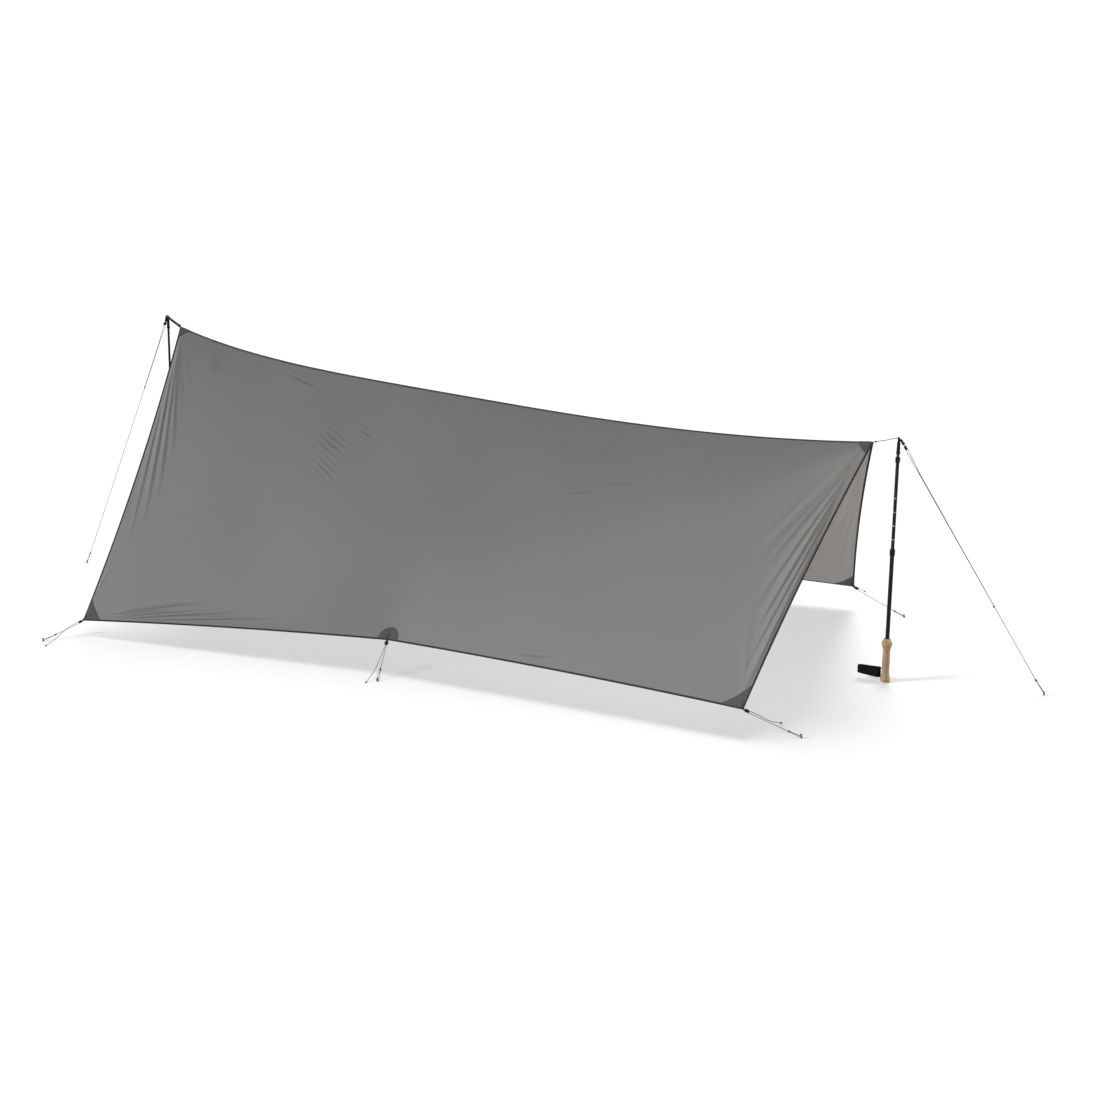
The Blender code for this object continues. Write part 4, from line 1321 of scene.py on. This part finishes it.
def makePeakCord(end, line):
    looks = peakCords[end]
    foot, tip, peg, peak = (Vector(line[key]) for key in ("foot", "tip", "peg", "peak"))
    radius = line["cordRadius"]
    axis = (tip - foot).normalized()
    toward = (peg - tip).normalized()
    tie = ridgeTie(line)
    nearward = Vector((0, -1, 0))
    nearward = (nearward - axis * nearward.dot(axis)).normalized()
    passing = tip - axis * lines["belowTip"] + nearward * (lines["tipRadius"] + lines["clearance"] + radius)
    start = peak + (passing - peak).normalized() * (lines["hemRadius"] + lines["clearance"])
    finish = tie - toward * lines["clearance"]
    beforeEnd = finish - toward * 3 * radius
    route = smoothRoute([start, start.lerp(passing, 0.5), passing, beforeEnd, finish], 12)
    cord = sweepTube(f"{end}PeakCord", route, radius, looks["sides"], looks["strands"], hankLay)
    dress(cord, looks["finish"])
    hitch = []
    for i in range(tipHitch["steps"] + 1):
        share = i / tipHitch["steps"]
        around = Matrix.Rotation(fullTurn * tipHitch["turns"] * share, 3, axis) @ nearward
        below = tipHitch["below"] - tipHitch["rise"] * share
        hitch.append(tip - axis * below + around * (lines["tipRadius"] + tipHitch["radius"]))
    after = [point for point in route if (point - passing).dot(toward) > ridgeLink["past"]]
    linkRadius = max(radius + ridgeLink["over"], ridgeLink["least"])
    linked = [*after[:-1], after[-1] - toward * ridgeLink["short"]]
    toward, _, upward = lineAxes(tie, peg + upZ * lines["height"])
    eyeRoute = [tie + toward * x + upward * z for x, z in mirroredLoop(eye["half"], eye["nose"])]
    extras = [
        cordPiece(f"{end}TipHitch", hitch, tipHitch["radius"], darkCord if end == "tall" else lineCord),
        cordPiece(f"{end}Link", linked, linkRadius, darkCord, 12),
        makeKnot(f"{end}LinkKnot", after[len(after) // 2], (peg - tip).normalized(), linkRadius, 2, darkCord),
        cordPiece(f"{end}Eye", smoothRoute(eyeRoute, 4), eye["radius"], darkCord),
        makeKnot(f"{end}PeakKnot", start.lerp(passing, looks["knotAt"]), (passing - start).normalized(),
                 radius * looks["knot"], 3, looks["finish"], looks["slot"]),
    ]
    2 * radius


# Tie tapes: webbing sewn on the patch, round the rear bar of the adjuster and back under the cloth
tape = {
    "width": 0.0072,
    "thickness": 0.0007,
    "offCloth": 0.0022,
    "inward": {"tall": 0.010, "side": 0.0, "low": -0.010},  # how far its sewn end lies along the ridge
    "upward": -0.024,
    "sewn": (1.0, 0.55, 0.22),  # shares of that way where it lies on the cloth
    "twist": (0.25, 0.55),  # where it turns from the cloth's plane to the adjuster's
    "turn": [(0.0010, 0.0024), (0.0036, 0.0024), (0.0052, 0.0023), (0.0063, 0.0014)],
    "nose": 0.0066,
    "edge": [(-1, -0.5), (-0.95, -1), (0.95, -1), (1, -0.5), (1, 0.5), (0.95, 1), (-0.95, 1), (-1, 0.5)],
}


def makeTieTape(name):
    end, place = name.split("_")
    side = -1 if place == "near" else 1
    tie = hemTie(name)
    toward, across, upward = lineAxes(tie, Vector(hemLines[name][0]) + upZ * lines["height"])
    along = {"tall": 0.0, "side": 0.5, "low": 1.0}[end]
    step = np.array((tape["inward"][end] / ridgeLength, tape["upward"] / float(slopeDepth(along))))

    def clothNear(share):
        point, normal = clothAt(along + step[0] * share, 1.0 + step[1] * share, side)
        return Vector(point), Vector(normal)

    upper, under = [], []
    for share in tape["sewn"]:
        point, normal = clothNear(share)
        upper.append(point + normal * tape["offCloth"])
        under.append(point - normal * tape["offCloth"])
    _, normal = clothNear(0.2)
    facing = 1 if normal.dot(upward) > 0 else -1
    flat = (upper[0] - upper[2]).normalized().cross(normal).normalized()
    flat *= 1 if flat.dot(across) > 0 else -1
    around = [tie + toward * x + upward * (z * facing) for x, z in mirroredLoop(tape["turn"], tape["nose"])]
    points = smoothRoute([*upper, *around, *under[::-1]], 4)
    last = len(points) - 1
    half, thin = tape["width"] / 2, tape["thickness"] / 2
    rings = []
    for i, (point, (_, _, way)) in enumerate(zip(points, routeFrames(points))):
        wide = flat.lerp(across, float(stepUp(min(i, last - i) / last * 2, *tape["twist"])))
        wide = (wide - way * wide.dot(way)).normalized()
        out = way.cross(wide)
        rings.append([point + wide * (half * a) + out * (thin * b) for a, b in tape["edge"]])
    made = loft(f"{camel(name)}Tape", rings, routeLengths(points), 2 * tape["width"])
    return dress(smoothed(made, 40), seamTape)


hardware = {"adjuster": makeAdjuster(), "peg": makePeg()}
tieTapes = [makeTieTape(name) for name in hemLines]
lineLengths = makeLines()
for end, line in ridgeLines.items():
    makePeakCord(end, line)
dropPatterns(hardware)
print("lines done", {name: round(length, 3) for name, length in lineLengths.items()})


# Canopy, in one sheet over both slopes
canopyCloth = dress(makeCanopy(), tarpCloth, nodes=["near_panel", "far_panel"])
sewnOn = [makeEndHem("tall"), makeEndHem("low"), makeLongHem("near", -1), makeLongHem("far", 1),
          makeRidgeSeam(), *makePatches(), *tieTapes]
areas = np.empty(len(canopyCloth.data.polygons))
canopyCloth.data.polygons.foreach_get("area", areas)
print("canopy done, area", round(float(areas.sum() / 2), 4))


# A smooth profile through a few given rings
def roundedRings(rings, pieces):
    points = smoothRoute([Vector((radius, 0, height)) for radius, height in rings], pieces)
    return [(max(point.x, 0.0004), point.z) for point in points]


pole = {
    "gripLength": 0.164,
    "upperShown": 0.311,
    "upperCollar": 0.024,
    "lowerCollar": 0.020,
    "lowShaftShown": 0.011,
    "tallShaftShown": 0.3296,
    "sleeve": 0.065,
    "upperRadius": 0.0075,
    "upperWall": 0.001,
    "upperCollarWall": 0.0022,
    "middleRadius": 0.0062,
    "middleWall": 0.0009,
    "lowerCollarWall": 0.0025,
    "middleLength": 0.450,
    "shaftRadius": 0.0050,
    "shaftInSleeve": 0.004,
    "overlap": 0.010,
    "gripFloor": 0.012,
    "expander": 0.014,
    "spigot": 0.012,
    "lockMargin": 0.004,
    "gripBase": 0.013,
    "clearance": 0.0003,
    "lip": 0.0003,
}
grip = {
    "rings": [(0.0120, 0.0), (0.0160, 0.0012), (0.0180, 0.0045), (0.0186, 0.011), (0.0174, 0.0165),
              (0.0156, 0.024), (0.0138, 0.036), (0.0135, 0.052), (0.0142, 0.072), (0.0140, 0.094),
              (0.0134, 0.112), (0.0141, 0.124), (0.0174, 0.135), (0.0198, 0.1425), (0.0196, 0.1475),
              (0.0166, 0.1545), (0.0132, 0.160), (0.0118, 0.1640)],
    "grooves": [0.1285, 0.0300],
    "grooveDepth": 0.0004,
    "grooveHalf": 0.0009,
    "mouthEdge": (0.0006, 0.0005),
}


def poleFrame(foot, tip, strapSign):
    axis = (tip - foot).normalized()
    lean = math.hypot(axis.x, axis.y)
    level = Vector((axis.y, -axis.x, 0)).normalized() * strapSign
    turned = Matrix((level, axis.cross(level), axis)).transposed().to_4x4()
    return Matrix.Translation(foot + Vector((0, 0, pole["gripBase"] * lean))) @ turned


def makeGrip():
    rings = roundedRings(grip["rings"], 3)
    half = grip["grooveHalf"]
    for height in grip["grooves"]:
        places = [height - half, height - half / 3, height + half / 3, height + half]
        radii = np.interp(places, [rise for _, rise in rings], [radius for radius, _ in rings])
        radii[1:3] -= grip["grooveDepth"]
        rings = [ring for ring in rings if abs(ring[1] - height) > half * 1.2]
        rings = sorted([*rings, *zip(radii.tolist(), places)], key=lambda ring: ring[1])
    # the bore for the upper tube, down to the solid heel
    bore, top = pole["upperRadius"] + pole["clearance"], pole["gripLength"]
    wider, lower = grip["mouthEdge"]
    rings += [(bore + wider, top), (bore, top - lower), (bore, pole["gripFloor"] - pole["clearance"])]
    return smoothed(turnedPiece("gripPattern", rings, 40), 50)


collar = {
    "rim": 0.0012,
    "grooveDepth": 0.0005,
    "groove": (0.30, 0.34, 0.38, 0.42),  # shares of the length
    "facets": 48,
    "ribInset": 0.00025,
}


def makeCollar(which, carrier, inner):
    length, radius = pole[f"{which}Collar"], carrier + pole[f"{which}CollarWall"]
    wide, narrow = carrier + pole["clearance"], inner + pole["clearance"]
    rim, depth, step = collar["rim"], collar["grooveDepth"], pole["overlap"]
    first, down, up, last = (length * share for share in collar["groove"])
    high = length - 2.2 * rim
    rings = [(radius - rim, 0), (radius, rim), (radius, first), (radius - depth, down), (radius - depth, up),
             (radius, last), (radius, high), (radius - rim, length), (narrow, length), (narrow, step),
             (wide, step), (wide, 0)]
    facets = collar["facets"]
    obj = turnedPiece(f"{which}CollarPattern", rings, facets, hollow=True)
    pickFaces(obj, lambda face: last < face.center.z < high and face.center.xy.length > radius - 0.0003
              and round(math.atan2(face.center.y, face.center.x) / fullTurn * facets - 0.5) % 3 == 0)
    bpy.ops.mesh.inset(thickness=collar["ribInset"], depth=-depth, use_individual=True)
    useMode("OBJECT")
    heightMap(obj)
    return smoothed(obj, 40)


strap = {
    "start": 0.0168,
    "heel": 0.022,
    "width": 0.028,
    "gap": 0.020,
    "length": 0.0865,
    "thickness": 0.0016,
    "pinch": 0.0022,
    "sag": 0.0075,
    "farSag": 0.0030,
    "profile": [(-1, 0.02), (-0.9, 0.0), (0.9, 0.0), (1, 0.02), (1, 0.25), (1, 0.5), (1, 0.75), (1, 0.98),
                (0.9, 1.0), (-0.9, 1.0), (-1, 0.98), (-1, 0.75), (-1, 0.5), (-1, 0.25)],
    "tab": ((0.0152, 0, 0.0486), (0.0072, 0.0104, 0.0018)),  # place and size
    "tabEdge": 0.0004,
    "tabTaper": 0.8,
}


# A closed loop of webbing on edge, drawn in at the grip and slack at its far end
def makeStrapLoop():
    start, length, thickness = strap["start"], strap["length"], strap["thickness"]
    outer = strap["gap"] / 2 + thickness / 2
    near, far = start + outer + thickness / 2, start + length - outer - thickness / 2
    centres = []
    for centre, other, first in ((far, near, -90), (near, far, 90)):
        for step in range(17):
            angle = math.radians(first + 180 * step / 16)
            centres.append((centre + outer * math.cos(angle), outer * math.sin(angle)))
        for step in range(1, 14):
            share = step / 14
            aside = outer - strap["pinch"] * math.sin(math.pi * share)
            centres.append((centre + (other - centre) * share, aside if centre == far else -aside))
    centres = np.array(centres)
    way = unit(np.roll(centres, -1, axis=0) - np.roll(centres, 1, axis=0))
    outward = np.stack([way[:, 1], -way[:, 0]], axis=1)
    sections = []
    for (x, y), (outX, outY) in zip([*centres, centres[0]], [*outward, outward[0]]):
        away = min(max((x - start) / length, 0), 1)
        sag, farSag = strap["sag"] * math.cos(away * math.pi / 2), strap["farSag"] * away ** 6
        ring = []
        for side, share in strap["profile"]:
            off = thickness / 2 * side
            drop = sag * (1 - share) ** 1.5 - farSag * (0.5 - share)
            ring.append((x + outX * off, y + outY * off, strap["heel"] + strap["width"] * share - drop))
        sections.append(ring)
    girth = 2 * (strap["width"] + thickness)
    obj = loft("strapPattern", sections, routeLengths([*centres, centres[0]]), girth, caps=False)
    return smoothed(fixNormals(obj, weld=1e-6), 40)


# The tab that holds the strap to the grip, at the strap's hinge
def makeStrapTab():
    place, size = strap["tab"]
    edge, taper = strap["tabEdge"], strap["tabTaper"]
    obj = newBlock("strapTabPattern", place, size)
    pickFaces(obj, lambda face: face.normal.x > 0.9)
    bpy.ops.mesh.inset(thickness=edge)
    resize((1, taper, taper), (place[0] + size[0] / 2, 0, place[2]))
    useMode("OBJECT")
    return smoothed(bevelled(obj, edge, 2))


# The plastic sleeve over the tip shaft: its ring for a basket, a taper with ribs, and the seat of the tip
def makeSleeve():
    shaft = pole["shaftRadius"]
    rings = [(shaft + 0.0008, 0.0), (0.0078, 0.0004), (0.0085, 0.0012), (0.0085, 0.0030), (0.0078, 0.0038),
             (0.0070, 0.0042), (shaft + 0.0019, 0.0060)]
    for i in range(6):
        height = 0.010 + i * 0.0045
        radius = shaft + 0.0018 - 0.00011 * i * 1.2
        rings += [(radius, height), (radius - 0.0005, height + 0.0008), (radius - 0.0005, height + 0.0022),
                  (radius, height + 0.0030)]
    rings += [(shaft + 0.0006, 0.0385), (0.0046, 0.046), (0.0034, 0.0525), (0.0028, 0.0545), (0.0024, 0.0548)]
    return smoothed(turnedPiece("tipSleevePattern", rings, 36), 35)


def makeCarbide():
    rings = [(0.0022, -0.0125), (0.0024, -0.0085), (0.0020, -0.0045), (0.0018, -0.0022), (0.00175, -0.0004),
             (0.0016, 0.0), (0.0009, -0.0006)]
    return smoothed(turnedPiece("carbideTipPattern", rings, 24), 35)


def makePole(end, strapSign, patterns):
    foot, tip = Vector(ridgeLines[end]["foot"]), Vector(ridgeLines[end]["tip"])
    place = poleFrame(foot, tip, strapSign)
    length = (tip - foot).length
    lip, clearance, overlap = pole["lip"], pole["clearance"], pole["overlap"]
    upperMouth = pole["gripLength"] + pole["upperShown"]
    sleeveStart = length - pole["sleeve"]
    middleMouth = sleeveStart - pole[f"{end}ShaftShown"] - pole["lowerCollar"]
    middleTop = middleMouth + overlap - clearance
    shaftLength = (pole["lowerCollar"] + pole["middleLength"] - overlap - pole["spigot"]
                   - pole["expander"] - pole["lockMargin"])
    gripBody, middleBody = f"{end}_grip_section", f"{end}_middle_section"

    def put(pattern, rise, finish, body="shelter"):
        name = end + pattern[0].upper() + pattern[1:]
        made = copyOf(patterns[pattern], name, place @ Matrix.Translation((0, 0, rise)))
        dress(made, finish, body)

    def putTube(name, radius, bottom, top, body, nodes=(), wall=None, beyond=0):
        rings = [(radius - lip, bottom), (radius, bottom + lip)]
        rings += [(radius, bottom + (top - bottom) * i / 6) for i in range(1, 6)]
        if wall:
            rings += [(radius, top - lip), (radius - lip, top), (radius - wall, top), (radius - wall, bottom)]
        else:
            rings += [(radius, top + beyond)]
        made = smoothed(turnedPiece(f"{end}{name}", rings, 40, hollow=bool(wall)), 40)
        made.data.transform(place)
        dress(made, poleTube, body, nodes)

    put("grip", 0, corkGrip, gripBody)
    putTube("UpperTube", pole["upperRadius"], pole["gripFloor"], upperMouth + overlap - clearance, gripBody,
            wall=pole["upperWall"])
    putTube("MiddleTube", pole["middleRadius"], middleTop - pole["middleLength"], middleTop, middleBody,
            wall=pole["middleWall"])
    put("upperCollar", upperMouth, blackPlastic, gripBody)
    put("lowerCollar", middleMouth, blackPlastic, middleBody)
    putTube("TipShaft", pole["shaftRadius"], sleeveStart - shaftLength, sleeveStart, "shelter",
            [f"{end}_tip_section"], beyond=pole["shaftInSleeve"])
    put("tipSleeve", sleeveStart, blackPlastic)
    put("carbideTip", length, carbideTip)
    put("strap", 0, strapWebbing, f"{end}_wrist_strap")
    put("strapTab", 0, blackPlastic, gripBody)


polePatterns = {
    "grip": makeGrip(),
    "upperCollar": makeCollar("upper", pole["upperRadius"], pole["middleRadius"]),
    "lowerCollar": makeCollar("lower", pole["middleRadius"], pole["shaftRadius"]),
    "tipSleeve": makeSleeve(),
    "carbideTip": makeCarbide(),
    "strap": makeStrapLoop(),
    "strapTab": makeStrapTab(),
}
makePole("tall", 1, polePatterns)
makePole("low", -1, polePatterns)
dropPatterns(polePatterns)
print("poles done")


# Carried-over CAD nodes
for end in ("tall", "low"):
    for which in ("upper", "lower"):
        materials = frame["nodes"][f"{end}_{which}_expander"].data.materials
        materials.clear()
        materials.append(redPlastic)


# Floor and light
studio = {
    "floor": (0.60, 0.60, 0.60),
    "glow": 0.22,
    "sky": 0.22,
    "seenSky": 1.05,
    "lights": [  # name, way to the light, strength, angle across it in degrees
        ("topLight", (0.10, 0.45, 1.0), 0.30, 30),
        ("backLight", (-0.14, 0.60, 0.85), 2.30, 30),
        ("sideLight", (-0.80, -0.45, 0.62), 2.80, 12)],
    "panels": [  # name, place, aim, size, power
        ("frontPanel", (1.1, -2.4, 0.7), (1.3, -0.4, 0.2), 0.8, 24),
        ("endPanel", (3.0, 0.8, 1.1), (1.2, 0.4, 0.0), 0.6, 58)],
}


def addLight(name, kind, energy, way):
    light = bpy.data.lights.new(name, kind)
    light.energy = energy
    obj = newObject(name, light)
    obj.visible_camera = False
    obj.rotation_euler = way.to_track_quat("-Z", "Y").to_euler()
    return light, obj


# A list for light linking that names what a light passes over
def leftOut(name, objects):
    listed = bpy.data.collections.new(name)
    for obj in objects:
        listed.objects.link(obj)
    for entry in listed.collection_objects:
        entry.light_linking.link_state = "EXCLUDE"
    return listed


def makeFloor():
    deselect()
    bpy.ops.mesh.primitive_plane_add(size=60, location=(0, 0, 0))
    floor = bpy.context.object
    floor.name = "studioFloor"
    finish, tree, shader = newFinish("paleFloor")
    setShader(tree, shader, colour=(*studio["floor"], 1), glowColour=(1, 1, 1, 1), glow=studio["glow"],
              roughness=0.9, specular=0.0)
    floor.data.materials.append(finish)
    return floor


# The panels don't light the floor, and the tarp casts no shadow of the side light
def makeLights(floor):
    for name, way, strength, angle in studio["lights"]:
        light, _ = addLight(name, "SUN", strength, -Vector(way))
        light.angle = math.radians(angle)
    cloth = [obj for obj in scene.objects if obj.name.endswith(("Cloth", "Hem", "Patch", "Tape", "Fell"))]
    bpy.data.objects["sideLight"].light_linking.blocker_collection = leftOut("sideLightPasses", cloth)
    notLit = leftOut("panelsLeaveOut", [floor])
    for name, place, aim, size, power in studio["panels"]:
        light, obj = addLight(name, "AREA", power, Vector(aim) - Vector(place))
        light.size = size
        obj.location = place
        obj.light_linking.receiver_collection = notLit


def makeSky():
    world = bpy.data.worlds.new("studioWorld")
    scene.world = world
    world.use_nodes = True
    tree = world.node_tree
    background = tree.nodes["Background"]
    seen = NodeValue(tree, addNode(tree, "ShaderNodeLightPath").outputs["Is Camera Ray"])
    feed(tree, background.inputs["Color"], (1, 1, 1, 1))
    feed(tree, background.inputs["Strength"], seen * (studio["seenSky"] - studio["sky"]) + studio["sky"])


makeLights(makeFloor())
makeSky()
scene.view_settings.view_transform = "Standard"
print("studio done")
